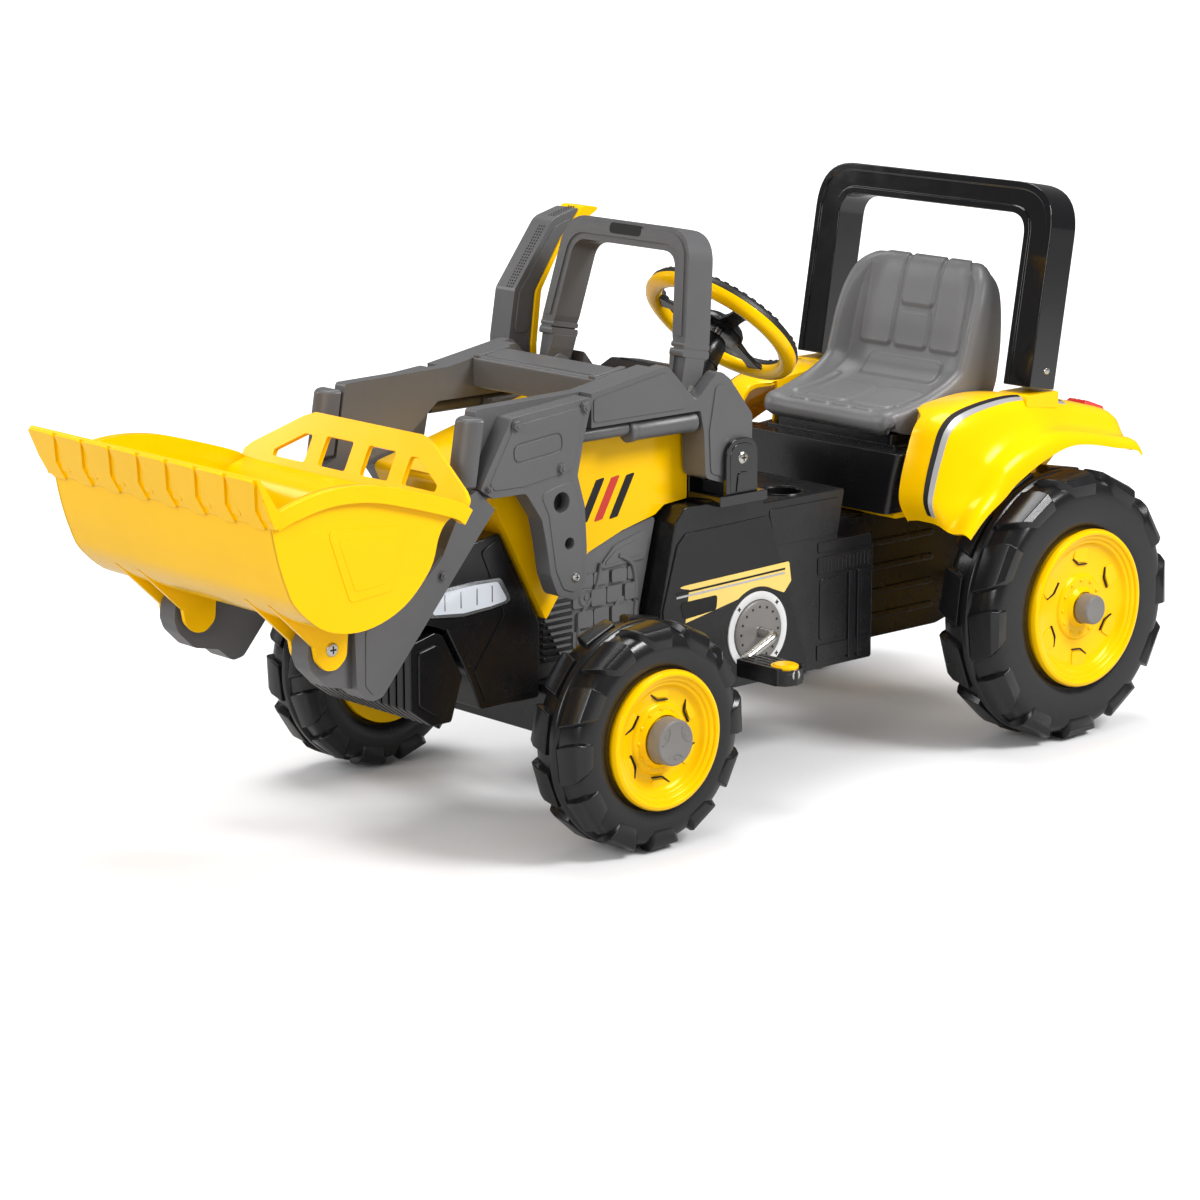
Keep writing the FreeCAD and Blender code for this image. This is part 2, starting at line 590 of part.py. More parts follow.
def make_steering():
    half = values["rim_half_width"]
    radius = values["rim_radius"]
    rim = column_frame(new_body("steering_rim"))
    lower = [(-13, radius - half + 3), (-8, radius - half), (1, radius - half), (1, radius + half),
             (-8, radius + half), (-13, radius + half - 4)]
    grip_section = [(1, radius - half), (9, radius - half + 2), (12, radius - half + 7),
                    (12, radius + half - 7), (9, radius + half - 2), (1, radius + half)]
    for body, section in ((rim, lower), (column_frame(new_body("steering_grip")), grip_section)):
        points = [(across, up) for up, across in section]
        sketch = outline(body, body.Name + "_section", points, "XZ_Plane")
        turn = body.newObject("PartDesign::Revolution", body.Name + "_turn")
        turn.Profile = sketch
        turn.ReferenceAxis = (sketch, ["V_Axis"])
        turn.Angle = 360
        doc.recompute([sheet, sketch, turn])
        keep(body, body.Name)
    hub = column_frame(new_body("steering_hub"))
    reach = radius - half - 0.2
    spoke = [(-13, 0), (13, 0), (10, reach * 0.985), (-10, reach * 0.985)]
    pad(hub, circle(hub, "hub_disc", "0", "0", "34", "XY_Plane", "-12"), "16")
    for index, angle in enumerate((0, 120, 240)):
        turned = [(a * math.cos(math.radians(angle)) - b * math.sin(math.radians(angle)),
                   a * math.sin(math.radians(angle)) + b * math.cos(math.radians(angle)))
                  for a, b in spoke]
        pad(hub, outline(hub, "spoke%d" % (index + 1), turned, "XY_Plane", "-10"), "9")
    bore(hub, "hub_bore", "0", "0", "axle_radius - 2", "XY_Plane", "-12", "60")
    keep(hub, "steering_hub")
    rod = column_frame(doc.addObject("Part::Cylinder", "column_rod"), "-506.7")
    bind(rod, "Radius", "axle_radius - 2")
    bind(rod, "Height", "506.7")
    finger = column_frame(doc.addObject("Part::Cylinder", "column_finger"), "-503")
    bind(finger, "Radius", "small_pin_radius")
    bind(finger, "Height", "30")
    finger.Placement = FreeCAD.Placement(finger.Placement.Base,
                                         FreeCAD.Rotation(Vector(1, 0, 0), -90 - values["column_tilt"]))
    ball = doc.addObject("Part::Sphere", "column_ball")
    ball.Radius = 5
    place(ball, "-wheelbase + steer_arm", "tie_z + 3.5")
    keep(fused("steering_column", rod, finger, ball), "steering_column")
    body = beam("dash_box", [(-525, 357), (-525, 500), (-500, 511), (-462, 506), (-450, 470), (-440, 357)],
                "120", [(6, [(-525, 500), (-500, 511), (-462, 506)])])
    shroud = column_frame(doc.addObject("Part::Cylinder", "shroud"), "-128")
    shroud.Radius = 26
    shroud.Height = 108
    hollow = column_frame(doc.addObject("Part::Cylinder", "shroud_hollow"), "-260")
    hollow.Radius = 10
    hollow.Height = 250
    keep(cut("dashboard", fused("dash_solid", body, shroud), hollow), "dashboard")


# ---- loader -------------------------------------------------------------------------------------
def make_posts():
    """Black clevis on each flank that carries the loader: inner post, outer ear, joined by a base."""
    foot = slab("post_foot", [(-524, 357), (-445, 357), (-445, 370), (-524, 370)], "80", "83")
    inner = slab("post_inner", [(-524, 370), (-450, 370), (-450, 428), (-462, 440), (-510, 440),
                                (-524, 428)], "80", "28", [(10, [(-524, 428), (-510, 440)])])
    ear = slab("post_ear", [(-510, 370), (-458, 370), (-458, 437), (-510, 437)], "152", "6",
               [(25, [(-458, 437), (-510, 437)])])
    solid = fused("post_solid", foot, inner, ear)
    hole = cylinder("post_hole", "pin_radius", "200", "60", "lift_y", "lift_z")
    both_sides(cut("lift_post", solid, hole), "lift_posts")
    pin = cylinder("lift_pin", "pin_radius", "80", "80", "lift_y", "lift_z")
    head = cylinder("lift_pin_head", "8", "3", "158", "lift_y", "lift_z")
    both_sides(fused("lift_pin_solid", pin, head), "lift_pins")


def make_arm():
    """One loader arm: rear bracket, channel beam and the long lower arm with its bucket eye."""
    skin = [(-459, 462), (-460, 390), (-490, 378), (-536, 393), (-539, 449), (-545, 476), (-735, 476),
            (-780, 440), (-823, 414), (-859, 410), (-1032, 209), (-1048, 206), (-1068, 223), (-1102, 230),
            (-1124, 252), (-1129, 266), (-1127, 284), (-1114, 298), (-1096, 302), (-1040, 300), (-960, 345),
            (-938, 364), (-910, 418), (-891, 426), (-876, 513), (-719, 516), (-599, 536), (-552, 488),
            (-515, 522), (-497, 509)]
    body = new_body("loader_arm")
    pad(body, outline(body, "arm_skin_side", skin, offset="arm_inner"), "arm_skin - arm_inner")
    rear = [(-459, 462), (-460, 390), (-490, 378), (-536, 393), (-539, 449), (-545, 476), (-719, 476),
            (-719, 516), (-599, 536), (-552, 488), (-515, 522), (-497, 509)]
    pad(body, outline(body, "arm_rear_side", rear, offset="arm_skin"), "arm_outer - arm_skin")
    front = [(-892, 425), (-910, 418), (-938, 364), (-960, 345), (-1040, 300), (-1070, 292), (-1068, 223),
             (-1048, 206), (-1032, 209), (-866, 400)]
    pad(body, outline(body, "arm_front_side", front, offset="arm_skin"), "arm_outer - arm_skin")
    eye = [(-1068, 223), (-1102, 230), (-1124, 252), (-1129, 266), (-1127, 284), (-1114, 298),
           (-1096, 302), (-1070, 301)]
    pad(body, outline(body, "arm_eye_side", eye, offset="arm_skin"), "12")
    slot = [(-612, 479), (-500, 479), (-500, 560), (-612, 560)]
    pocket(body, outline(body, "hoop_slot", slot, offset="arm_inner"), "21", reverse=True)
    cheek = [(-575, 479), (-520, 479), (-527, 507), (-543, 515), (-559, 507)]
    pad(body, outline(body, "hoop_cheek", cheek, offset="arm_inner - 4"), "5")
    base = [(-575, 476), (-520, 476), (-520, 479), (-575, 479)]
    pad(body, outline(body, "cheek_base", base, offset="arm_inner - 4"), "5")
    bore(body, "lift_bore", "lift_y", "lift_z", "pin_radius + running_gap")
    bore(body, "tip_bore", "tip_y", "tip_z", "pin_radius")
    pocket(body, circle(body, "hoop_bore", "hoop_y", "hoop_z", "small_pin_radius",
                        offset="arm_inner - 10"), "14", reverse=True)
    left_and_right(body, "loader_arm")


def make_plate():
    """Bolted front plate with the strut hanging from it."""
    shape = [(-844, 503), (-720, 514), (-735, 464), (-744, 424), (-733, 387), (-730, 339), (-730, 298),
             (-746, 276), (-775, 286), (-786, 312), (-792, 348), (-799, 379), (-823, 413), (-873, 414),
             (-891, 426)]
    body = slab("loader_plate", shape, "arm_skin", "plate_outer - arm_skin",
                [(5, [(-844, 503), (-720, 514), (-746, 276), (-775, 286)])])
    bore(body, "strut_hole_big", "-770", "396", "12", offset="arm_outer", length="20")
    bore(body, "strut_hole_small", "-758", "346", "7", offset="arm_outer", length="20")
    left_and_right(body, "loader_plate")


def make_loader_details():
    cross = beam("cross_member", [(-680, 487), (-628, 490), (-628, 531), (-680, 525)], "2 * arm_inner",
                 [(4, [(-628, 531), (-680, 525)])])
    keep(cross, "cross_member")
    tilt = FreeCAD.Rotation(Vector(1, 0, 0), -math.degrees(math.atan2(24, 75)))
    arm_face = FreeCAD.Rotation(Vector(1, 0, 0), -math.degrees(math.atan2(15, 87)))
    tube = cylinder("nose_tube", "20", "79", "130", "-897", "428", tilt)
    half = doc.addObject("Part::Box", "nose_half")
    half.Length = 60
    half.Width = 40
    half.Height = 130
    half.Placement = FreeCAD.Placement(Vector(0, 0, 0), arm_face)
    place(half, "-894.6", "406", "100")
    both_sides(cut("nose_cylinder", tube, half), "nose_cylinders")
    barrel = cylinder("ram_barrel", "14", "107", "134", "-652", "461.9",
                      FreeCAD.Rotation(Vector(1, 0, 0), -90))
    rod = cylinder("ram_rod", "9", "80.5", "134", "-731.5", "466", FreeCAD.Rotation(Vector(1, 0, 0), -90))
    both_sides(fused("ram", barrel, rod), "rams")
    heads = []
    for index, (along, up, start) in enumerate(((-838, 494, 155), (-734, 506, 155), (-770, 435, 155),
                                                (-880, 428, 155), (-945, 335, 150), (-749, 305, 155))):
        head = doc.addObject("Part::Prism", "bolt_head%d" % (index + 1))
        head.Polygon = 6
        head.Circumradius = 6.5
        head.Height = 4
        head.Placement = FreeCAD.Placement(Vector(0, 0, 0), ALONG_X)
        size("bolt_y%d" % (index + 1), along)
        size("bolt_z%d" % (index + 1), up)
        place(head, "bolt_y%d" % (index + 1), "bolt_z%d" % (index + 1), str(start))
        heads.append(head)
    left = doc.addObject("Part::Compound", "bolts_left")
    left.Links = heads
    both_sides(left, "loader_bolts")


def make_hoop():
    """Grab hoop that tips the bucket; its feet turn on pins inside the arms."""
    body = new_body("hoop_handle")
    lean = FreeCAD.Rotation(Vector(1, 0, 0), -values["hoop_lean"])
    body.Placement = FreeCAD.Placement(Vector(0, 0, 0), lean)
    place(body, "hoop_y - hoop_z * sin(hoop_lean * 1deg)", "hoop_z * (1 - cos(hoop_lean * 1deg))")
    bow = [(-129, 487), (-112, 487), (-112, 548), (-105, 560), (-90, 657), (90, 657), (105, 560),
           (112, 548), (112, 487), (129, 487), (129, 556), (110, 686), (-110, 686), (-129, 556)]
    pad(body, outline(body, "hoop_bow", bow, "XZ_Plane"), "44", symmetric=True)
    round_edges(body, [(-110, 686), (110, 686)], 36, 0, 2)
    round_edges(body, [(-90, 657), (90, 657)], 18, 0, 2)
    for name, points in (("hoop_foot_back", [(16, 470), (40, 470), (40, 534), (16, 500)]),
                         ("hoop_foot_front", [(-16, 470), (-40, 470), (-40, 534), (-16, 500)])):
        pocket(body, outline(body, name, points), "300", symmetric=True)
    bore(body, "hoop_pivot", "0", "hoop_z", "small_pin_radius + running_gap")
    keep(body, "hoop_handle")
    pin = cylinder("hoop_pin", "small_pin_radius", "24", "arm_inner - 4", "hoop_y", "hoop_z")
    head = cylinder("hoop_pin_head", "6", "1.2", "129.3", "hoop_y", "hoop_z")
    both_sides(fused("hoop_pin_solid", pin, head), "hoop_pins")


def make_bucket():
    """Open scoop with end walls, toothed lip, windowed back plate and four pivot lugs."""
    body = new_body("bucket")
    scoop = [(-1232, 450), (-1222, 441), (-1216, 405), (-1205, 371), (-1190, 343), (-1151, 313),
             (-1098, 306), (-1045, 324), (-1007, 361), (-994, 396), (-981, 414), (-952, 421), (-972, 433),
             (-1035, 453), (-1091, 467), (-1147, 470), (-1199, 461)]
    pad(body, outline(body, "scoop_side", scoop), "2 * bucket_half", symmetric=True)
    inside = [(-1240, 520), (-1226, 452), (-1217, 440), (-1212, 406), (-1201, 373), (-1187, 346),
              (-1150, 317), (-1098, 310), (-1047, 328), (-1010, 363), (-998, 398), (-984, 418),
              (-975, 520)]
    pocket(body, outline(body, "scoop_hollow", inside), "2 * (bucket_half - bucket_wall)", symmetric=True)
    lip = [(-1233, 441), (-1222, 438), (-1218, 446), (-1226, 458), (-1243, 497), (-1249, 494)]
    pad(body, outline(body, "lip_side", lip), "2 * lip_half", symmetric=True)
    back = [(-984, 410), (-952, 420), (-923, 486), (-928, 488), (-957, 427), (-985, 417)]
    pad(body, outline(body, "back_side", back), "2 * bucket_half", symmetric=True)
    for side, sign in (("left", 1), ("right", -1)):
        corner = [(210 * sign, 428), (98 * sign, 492), (210 * sign, 492)]
        pocket(body, outline(body, "back_corner_" + side, corner, "XZ_Plane", "-tip_y - 186"), "42",
               reverse=True)
    panes = {"outer_left": [(152, 430), (90, 430), (90, 458), (108, 456)],
             "inner_left": [(65, 430), (13, 430), (13, 464), (65, 464)],
             "inner_right": [(-65, 430), (-13, 430), (-13, 464), (-65, 464)],
             "outer_right": [(-152, 430), (-90, 430), (-90, 458), (-108, 456)]}
    for name, points in panes.items():
        pocket(body, outline(body, "pane_" + name, points, "XZ_Plane", "-tip_y - 186"), "42", reverse=True)
    lug = [(-1178, 334), (-1127, 277), (-1122, 262), (-1110, 252), (-1096, 251), (-1083, 260),
           (-1078, 312), (-1098, 308), (-1151, 315)]
    for index, start in enumerate((98, 141, -104, -147)):
        pad(body, outline(body, "lug%d" % (index + 1), lug, offset=str(start)), "6")
    bore(body, "lug_bore", "tip_y", "tip_z", "pin_radius + running_gap")
    keep(body, "bucket")
    pin = cylinder("bucket_pin", "pin_radius", "53", "96", "tip_y", "tip_z")
    head = cylinder("bucket_pin_head", "8.5", "3", "147.4", "tip_y", "tip_z")
    both_sides(fused("bucket_pin_solid", pin, head), "bucket_pins")


def make_stack():
    """Exhaust stack on the right flank: a grey shell with a yellow shell along its rear edge and tip."""
    front = [(-577, 300), (-577, 529), (-567, 589), (-504, 672), (-456, 685)]
    seam = [(-492, 647), (-534, 584), (-542, 519), (-542, 300)]
    rear = [(-425, 681), (-484, 650), (-525, 585), (-533, 519), (-533, 300)]
    grey = slab("stack_half", front + seam, "-200", "40")
    foot = slab("stack_foot", [(-575, 302), (-545, 302), (-545, 340), (-566, 340)], "-162", "31")
    keep(fused("exhaust_stack", grey, foot), "exhaust_stack")
    keep(slab("stack_trim", front[-1:] + rear + seam[::-1], "-200", "40"), "stack_trim")


make_chassis()
make_bonnet()
make_engine_panels()
make_fascia()
make_weights()
make_front_axle()
make_knuckle()
make_tie_rod()
make_wheel("front", "front")
make_wheel("rear", "rear")
make_drive()
make_seat()
make_mudguard()
make_roll_bar()
make_steering()
make_posts()
make_arm()
make_plate()
make_loader_details()
make_hoop()
make_bucket()
make_stack()


# ---- write the parts ----------------------------------------------------------------------------
doc.recompute()
for item in doc.Objects:
    if "Invalid" in item.State or "Error" in item.State:
        raise RuntimeError(item.Name + " failed")
for item in parts:
    shape = item.Shape
    if shape.isNull() or not shape.isValid() or not shape.Solids:
        raise RuntimeError(item.Label + " has no valid solid")
    shape.exportStep("parts/%s.step" % item.Label)
    print(item.Label, len(shape.Solids), round(shape.Volume / 1000, 1))
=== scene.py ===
import math

import bmesh
import bpy
from mathutils import Matrix, Vector


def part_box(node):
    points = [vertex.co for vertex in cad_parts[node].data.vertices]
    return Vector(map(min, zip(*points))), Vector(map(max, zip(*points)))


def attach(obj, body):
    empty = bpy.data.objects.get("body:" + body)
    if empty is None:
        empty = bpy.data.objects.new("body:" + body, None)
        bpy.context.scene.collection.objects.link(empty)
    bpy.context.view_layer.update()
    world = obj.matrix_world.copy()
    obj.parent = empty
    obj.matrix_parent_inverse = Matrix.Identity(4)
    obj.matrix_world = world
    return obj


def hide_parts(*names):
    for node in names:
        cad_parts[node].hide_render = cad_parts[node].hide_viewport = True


# Looks of the ride-on pedal loader tractor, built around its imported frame.
# Lengths in this script are millimetres, measured like the frame's drawing: +X to the driver's left,
# +Y to the rear and +Z up, from the ground under the rear axle. at() turns them into frame metres.

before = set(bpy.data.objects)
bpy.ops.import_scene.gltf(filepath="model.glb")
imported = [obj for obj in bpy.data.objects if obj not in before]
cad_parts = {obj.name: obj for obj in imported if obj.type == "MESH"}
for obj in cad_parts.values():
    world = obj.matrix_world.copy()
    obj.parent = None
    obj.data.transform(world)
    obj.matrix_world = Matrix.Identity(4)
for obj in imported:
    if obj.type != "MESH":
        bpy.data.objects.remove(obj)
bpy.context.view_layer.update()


def centre_of(node):
    low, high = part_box(node)
    return (low + high) / 2


AXLE = centre_of("rear_axle")
MM = 0.001
WHEELBASE = 737
CRANK = (-432, 186)
CRANK_ANGLE = 157.3
LIFT = (-484, 413)
TIP = (-1101, 274.5)
HOOP = (-543, 497)
HOOP_LEAN = 11
COLUMN_TILT = 42.6
STEERING_CENTRE = (0, -368, 545)
SIDES = (("left", 1), ("right", -1))


def at(x, y, z):
    return Vector((x * MM, y * MM + AXLE.y, z * MM))


def fill(node, inputs):
    """Set a shader node's inputs; a value that is another node's output is linked instead."""
    for name, value in inputs.items():
        if isinstance(value, bpy.types.NodeSocket):
            node.id_data.links.new(value, node.inputs[name])
        else:
            node.inputs[name].default_value = value


def shader_node(tree, kind, inputs, output=0, **settings):
    node = tree.nodes.new("ShaderNode" + kind)
    for name, value in settings.items():
        setattr(node, name, value)
    fill(node, inputs)
    return node.outputs[output]


def noise(tree, scale, detail=3.0):
    """A noise texture on the object's own coordinates; scale is in cells per metre."""
    place = shader_node(tree, "TexCoord", {}, "Object")
    return shader_node(tree, "TexNoise", {"Scale": scale, "Detail": detail, "Vector": place}, "Fac")


def ranged(tree, source, low, high, start=0.3, end=0.7):
    return shader_node(tree, "MapRange", {"From Min": start, "From Max": end, "To Min": low, "To Max": high,
                                          "Value": source})


def new_material(name):
    material = bpy.data.materials.new(name)
    material.use_nodes = True
    return material, material.node_tree


def moulded(name, colour, roughness, grain=0.0, grain_scale=1400, waviness=0.0, coat=0.0,
            metallic=0.0, vary=0.08, sheen=(1, 1, 1)):
    """Moulded plastic or plated steel: cloudy colour, uneven gloss, fine grain and slow waviness."""
    material, tree = new_material(name)
    cloudy = {0: ranged(tree, noise(tree, 9), 0, 1), 6: (*colour, 1),
              7: (*[part * (1 - vary) for part in colour], 1)}
    inputs = {"Metallic": metallic, "Coat Weight": coat, "Coat Roughness": 0.06,
              "Specular Tint": (*sheen, 1),
              "Base Color": shader_node(tree, "Mix", cloudy, 2, data_type="RGBA"),
              "Roughness": ranged(tree, noise(tree, 38, 5), roughness - 0.03, roughness + 0.03)}
    for strength, scale, distance in ((waviness, 22, 0.004), (grain, grain_scale, 0.0004)):
        if strength:
            bump = {"Strength": strength, "Distance": distance, "Height": noise(tree, scale, 2)}
            if "Normal" in inputs:
                bump["Normal"] = inputs["Normal"]
            inputs["Normal"] = shader_node(tree, "Bump", bump, "Normal")
    fill(tree.nodes["Principled BSDF"], inputs)
    return material


YELLOW = moulded("yellow_gloss", (1.0, 0.56, 0.0), 0.2, waviness=0.05, coat=0.08, vary=0.05,
                 sheen=(1, 0.75, 0.12))
GREY = moulded("grey_satin", (0.1, 0.099, 0.102), 0.34, grain=0.35, waviness=0.03)
SEAT_GREY = moulded("seat_grained", (0.15, 0.148, 0.15), 0.38, grain=0.7, grain_scale=700)
ENGINE_GREY = moulded("engine_grey", (0.125, 0.125, 0.128), 0.38, grain=0.3)
BLACK = moulded("black_satin", (0.007, 0.007, 0.008), 0.26, grain=0.15, waviness=0.06)
PANEL_BLACK = moulded("black_grained", (0.011, 0.011, 0.012), 0.4, grain=0.8, grain_scale=900)
GLOSS_BLACK = moulded("black_gloss", (0.004, 0.004, 0.005), 0.1, waviness=0.06, coat=0.5)
TYRE = moulded("tyre_black", (0.0085, 0.0085, 0.0095), 0.25, grain=0.25, grain_scale=500,
               waviness=0.06)
# Near-black for two things: printed black stripes, and painted shade in recesses and holes (screw crosses,
# rim pocket strokes, disc holes, stack perforations, blind-hole bottoms).
PAINTED_SHADE_AND_PRINT_BLACK = moulded("painted_shade_and_print_black", (0.004, 0.004, 0.004), 0.6)
CAP_GREY = moulded("cap_grey", (0.19, 0.18, 0.17), 0.34, grain=0.3)
STEEL = moulded("zinc_steel", (0.62, 0.61, 0.58), 0.27, grain=0.15, grain_scale=300, metallic=1.0)
SILVER = moulded("silver_lamp", (0.62, 0.64, 0.67), 0.16, metallic=0.85, coat=0.6)
LENS = moulded("clear_lamp", (0.72, 0.76, 0.82), 0.08, coat=0.8)
RED = moulded("red_lamp", (0.62, 0.02, 0.012), 0.12, coat=0.8, waviness=0.1)
WHITE = moulded("white_print", (0.72, 0.72, 0.72), 0.4)
STICKER = moulded("pale_yellow_print", (0.86, 0.62, 0.16), 0.35)
STRIPE_SILVER = moulded("silver_print", (0.5, 0.49, 0.5), 0.3, metallic=0.4)
STRIPE_RED = moulded("red_print", (0.6, 0.03, 0.015), 0.35)


# ---- shape helpers ------------------------------------------------------------------------------
def rounded(points, radius=0.0, steps=5):
    """A polygon with rounded corners; a corner may carry its own radius as a third number."""
    result = []
    for index, corner in enumerate(points):
        size = corner[2] if len(corner) > 2 else radius
        here = Vector(corner[:2])
        to_last = Vector(points[index - 1][:2]) - here
        to_next = Vector(points[(index + 1) % len(points)][:2]) - here
        half = to_last.angle(to_next) / 2
        if size <= 0 or half > 1.52:
            result.append(here)
            continue
        reach = min(size / math.tan(half), 0.46 * to_last.length, 0.46 * to_next.length)
        start = here + to_last.normalized() * reach
        end = here + to_next.normalized() * reach
        for step in range(steps + 1):
            t = step / steps
            result.append(start * (1 - t) ** 2 + here * 2 * t * (1 - t) + end * t * t)
    return result


def spline(points, steps=8, closed=False):
    """A smooth curve through the given points, of any dimension."""
    points = [Vector(point) for point in points]
    count = len(points)
    result = []
    for index in range(count if closed else count - 1):
        if closed:
            a, b, c, d = (points[(index + shift) % count] for shift in (-1, 0, 1, 2))
        else:
            a, b = points[max(index - 1, 0)], points[index]
            c, d = points[index + 1], points[min(index + 2, count - 1)]
        for step in range(steps):
            t = step / steps
            result.append(0.5 * (2 * b + (c - a) * t + (2 * a - 5 * b + 4 * c - d) * t * t
                                 + (3 * b - a - 3 * c + d) * t ** 3))
    if not closed:
        result.append(points[-1])
    return result


def circle(across, up, radius, count=32, start=0.0):
    turns = (start + 2 * math.pi * index / count for index in range(count))
    return [Vector((across + radius * math.cos(turn), up + radius * math.sin(turn))) for turn in turns]


def box2d(left, low, right, high):
    return [(left, low), (right, low), (right, high), (left, high)]


PLANES = {"yz": lambda p, depth: at(depth, p[0], p[1]), "xz": lambda p, depth: at(p[0], depth, p[1]),
          "xy": lambda p, depth: at(p[0], p[1], depth)}


class Form:
    """A mesh under construction, made of closed forms."""

    def __init__(self):
        self.mesh = bmesh.new()

    def loft(self, rings, paint=0, cyclic=True, caps=True):
        """Join rings of points; caps closes both ends."""
        rows = [[self.mesh.verts.new(point) for point in ring] for ring in rings]
        count = len(rows[0])
        faces = []
        for near, far in zip(rows, rows[1:]):
            for index in range(count if cyclic else count - 1):
                other = (index + 1) % count
                faces.append(self.mesh.faces.new((near[index], near[other], far[other], far[index])))
        if caps:
            faces.append(self.mesh.faces.new(rows[0][::-1]))
            faces.append(self.mesh.faces.new(rows[-1]))
        for face in faces:
            face.material_index = paint
        return self

    def prism(self, points, start, end, plane="yz", paint=0, matrix=None):
        """Extrude a 2-D outline; with a matrix the outline lies in its own x-y plane, in millimetres."""
        if matrix is None:
            rings = [[PLANES[plane](point, depth) for point in points] for depth in (start, end)]
        else:
            rings = [[matrix @ (Vector((point[0], point[1], depth)) * MM) for point in points]
                     for depth in (start, end)]
        return self.loft(rings, paint)

    def slab(self, corners, start, end, radius=0.0, side=1, steps=5, **more):
        """A prism with rounded corners; side -1 puts it on the other flank."""
        return self.prism(rounded(corners, radius, steps), side * start, side * end, **more)

    def lathe(self, profile, matrix, count=96, paint=0, closed=False):
        """Turn a profile of (radius, height) about the matrix's own z axis."""
        rings = []
        for radius, height in profile:
            rings.append([matrix @ (Vector((*spot, height)) * MM) for spot in circle(0, 0, radius, count)])
        if closed:
            rings.append(rings[0])
        self.loft(rings, paint, caps=not closed)
        if closed:
            bmesh.ops.remove_doubles(self.mesh, verts=self.mesh.verts, dist=1e-7)
        return self

    def done(self, name, body, paints, replaces=(), bevel=0.0, segments=3, angle=38):
        """Turn the form into a piece that rides on a CAD body."""
        bmesh.ops.recalc_face_normals(self.mesh, faces=self.mesh.faces)
        mesh = bpy.data.meshes.new(name)
        self.mesh.to_mesh(mesh)
        self.mesh.free()
        mesh.shade_smooth()
        mesh.set_sharp_from_angle(angle=math.radians(angle))
        piece = bpy.data.objects.new(name, mesh)
        bpy.context.scene.collection.objects.link(piece)
        for paint in paints:
            mesh.materials.append(paint)
        if bevel:
            soften(piece, bevel, segments, angle)
        if body:
            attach(piece, body)
            if replaces:
                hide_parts(*replaces)
        return piece


def soften(piece, width, segments=3, angle=38):
    bevel = piece.modifiers.new("edges", "BEVEL")
    bevel.width = width * MM
    bevel.segments = segments
    bevel.limit_method = "ANGLE"
    bevel.angle_limit = math.radians(angle)
    bevel.harden_normals = True


def carve(piece, *cutters):
    """Cut closed forms out of a piece, before its edges are softened."""
    for cutter in cutters:
        cut = piece.modifiers.new("cut", "BOOLEAN")
        cut.operation = "DIFFERENCE"
        cut.solver = "EXACT"
        cut.use_self = True
        cut.object = cutter.done("cutter", None, [])
    order = [mod for mod in piece.modifiers if mod.type == "BEVEL"]
    settings = [(mod.width / MM, mod.segments, math.degrees(mod.angle_limit)) for mod in order]
    for mod in order:
        piece.modifiers.remove(mod)
    bpy.context.view_layer.update()
    graph = bpy.context.evaluated_depsgraph_get()
    mesh = bpy.data.meshes.new_from_object(piece.evaluated_get(graph))
    for mod in list(piece.modifiers):
        tool = mod.object
        piece.modifiers.remove(mod)
        bpy.data.objects.remove(tool)
    piece.data = mesh
    mesh.shade_smooth()
    mesh.set_sharp_from_angle(angle=math.radians(38))
    for width, segments, angle in settings:
        soften(piece, width, segments, angle)


def tube(form, path, radius, count=16, paint=0):
    """A round bar along a path of frame points."""
    rings = []
    for index, point in enumerate(path):
        ahead = path[min(index + 1, len(path) - 1)] - path[max(index - 1, 0)]
        turn = ahead.to_track_quat("Z", "Y").to_matrix()
        rings.append([point + turn @ spot.to_3d() for spot in circle(0, 0, radius * MM, count)])
    form.loft(rings, paint)


def around(face, radius, count, start=0.0):
    """Places spread evenly round a circle that lies in a face's own plane."""
    for number in range(count):
        angle = start + 2 * math.pi * number / count
        yield face @ Matrix.Translation(Vector((math.cos(angle), math.sin(angle), 0)) * radius * MM)


def mirrored(points):
    """Half an outline, followed by its mirror image run backwards."""
    return points + [(-corner[0], *corner[1:]) for corner in points[::-1]]


UPRIGHT = Matrix(((1, 0, 0), (0, 0, -1), (0, 1, 0))).to_4x4()


def facing(x, y, z, side=1):
    """A matrix whose z axis points out of the tractor's flank, x to the rear and y up."""
    basis = Matrix(((0, 0, side), (side, 0, 0), (0, 1, 0))).to_4x4()
    return Matrix.Translation(at(x * side, y, z)) @ basis


def hex_bolt(form, face, radius, paint):
    """A hexagonal head on a thin washer, with the end of the thread in its middle."""
    form.lathe([(0.1, 0), (radius * 1.12, 0), (radius * 1.12, 0.9), (0.1, 0.9)], face, 28, paint)
    form.prism(circle(0, 0, radius, 6, 0.3), 0.9, 4, paint=paint, matrix=face)
    form.lathe([(0.1, 4), (radius * 0.5, 4), (radius * 0.45, 5.2), (0.1, 5.4)], face, 20, paint)


def screw_head(form, face, radius, tall=3.0, cross=None):
    """A pan head; cross is the paint of a dark cross laid on its top, painted shade in place of its recess,
    if it has one.
    """
    form.lathe([(0.1, 0), (radius, 0), (radius, tall * 0.35), (radius * 0.82, tall * 0.85),
                (radius * 0.4, tall), (0.1, tall)], face, 32)
    if cross:
        # The recess is a flat dark cross standing just proud of the head: painted shade, with no hollow.
        long, thin = radius * 0.55, radius * 0.14
        form.prism(box2d(-long, -thin, long, thin), tall - 0.4, tall + 0.12, matrix=face, paint=cross)
        form.prism(box2d(-thin, -long, thin, long), tall - 0.4, tall + 0.15, matrix=face, paint=cross)


# ---- wheels -------------------------------------------------------------------------------------
WHEELS = {"rear": dict(radius=175, inner=187, outer=286.5, seat=97, flange=102, cap=19.5, y=0, lug=7.5),
          "front": dict(radius=135.5, inner=205, outer=293.5, seat=78, flange=82.5, cap=28, y=-WHEELBASE,
                        lug=6.5)}
HUB = 41
LUGS_PER_SIDE = 12


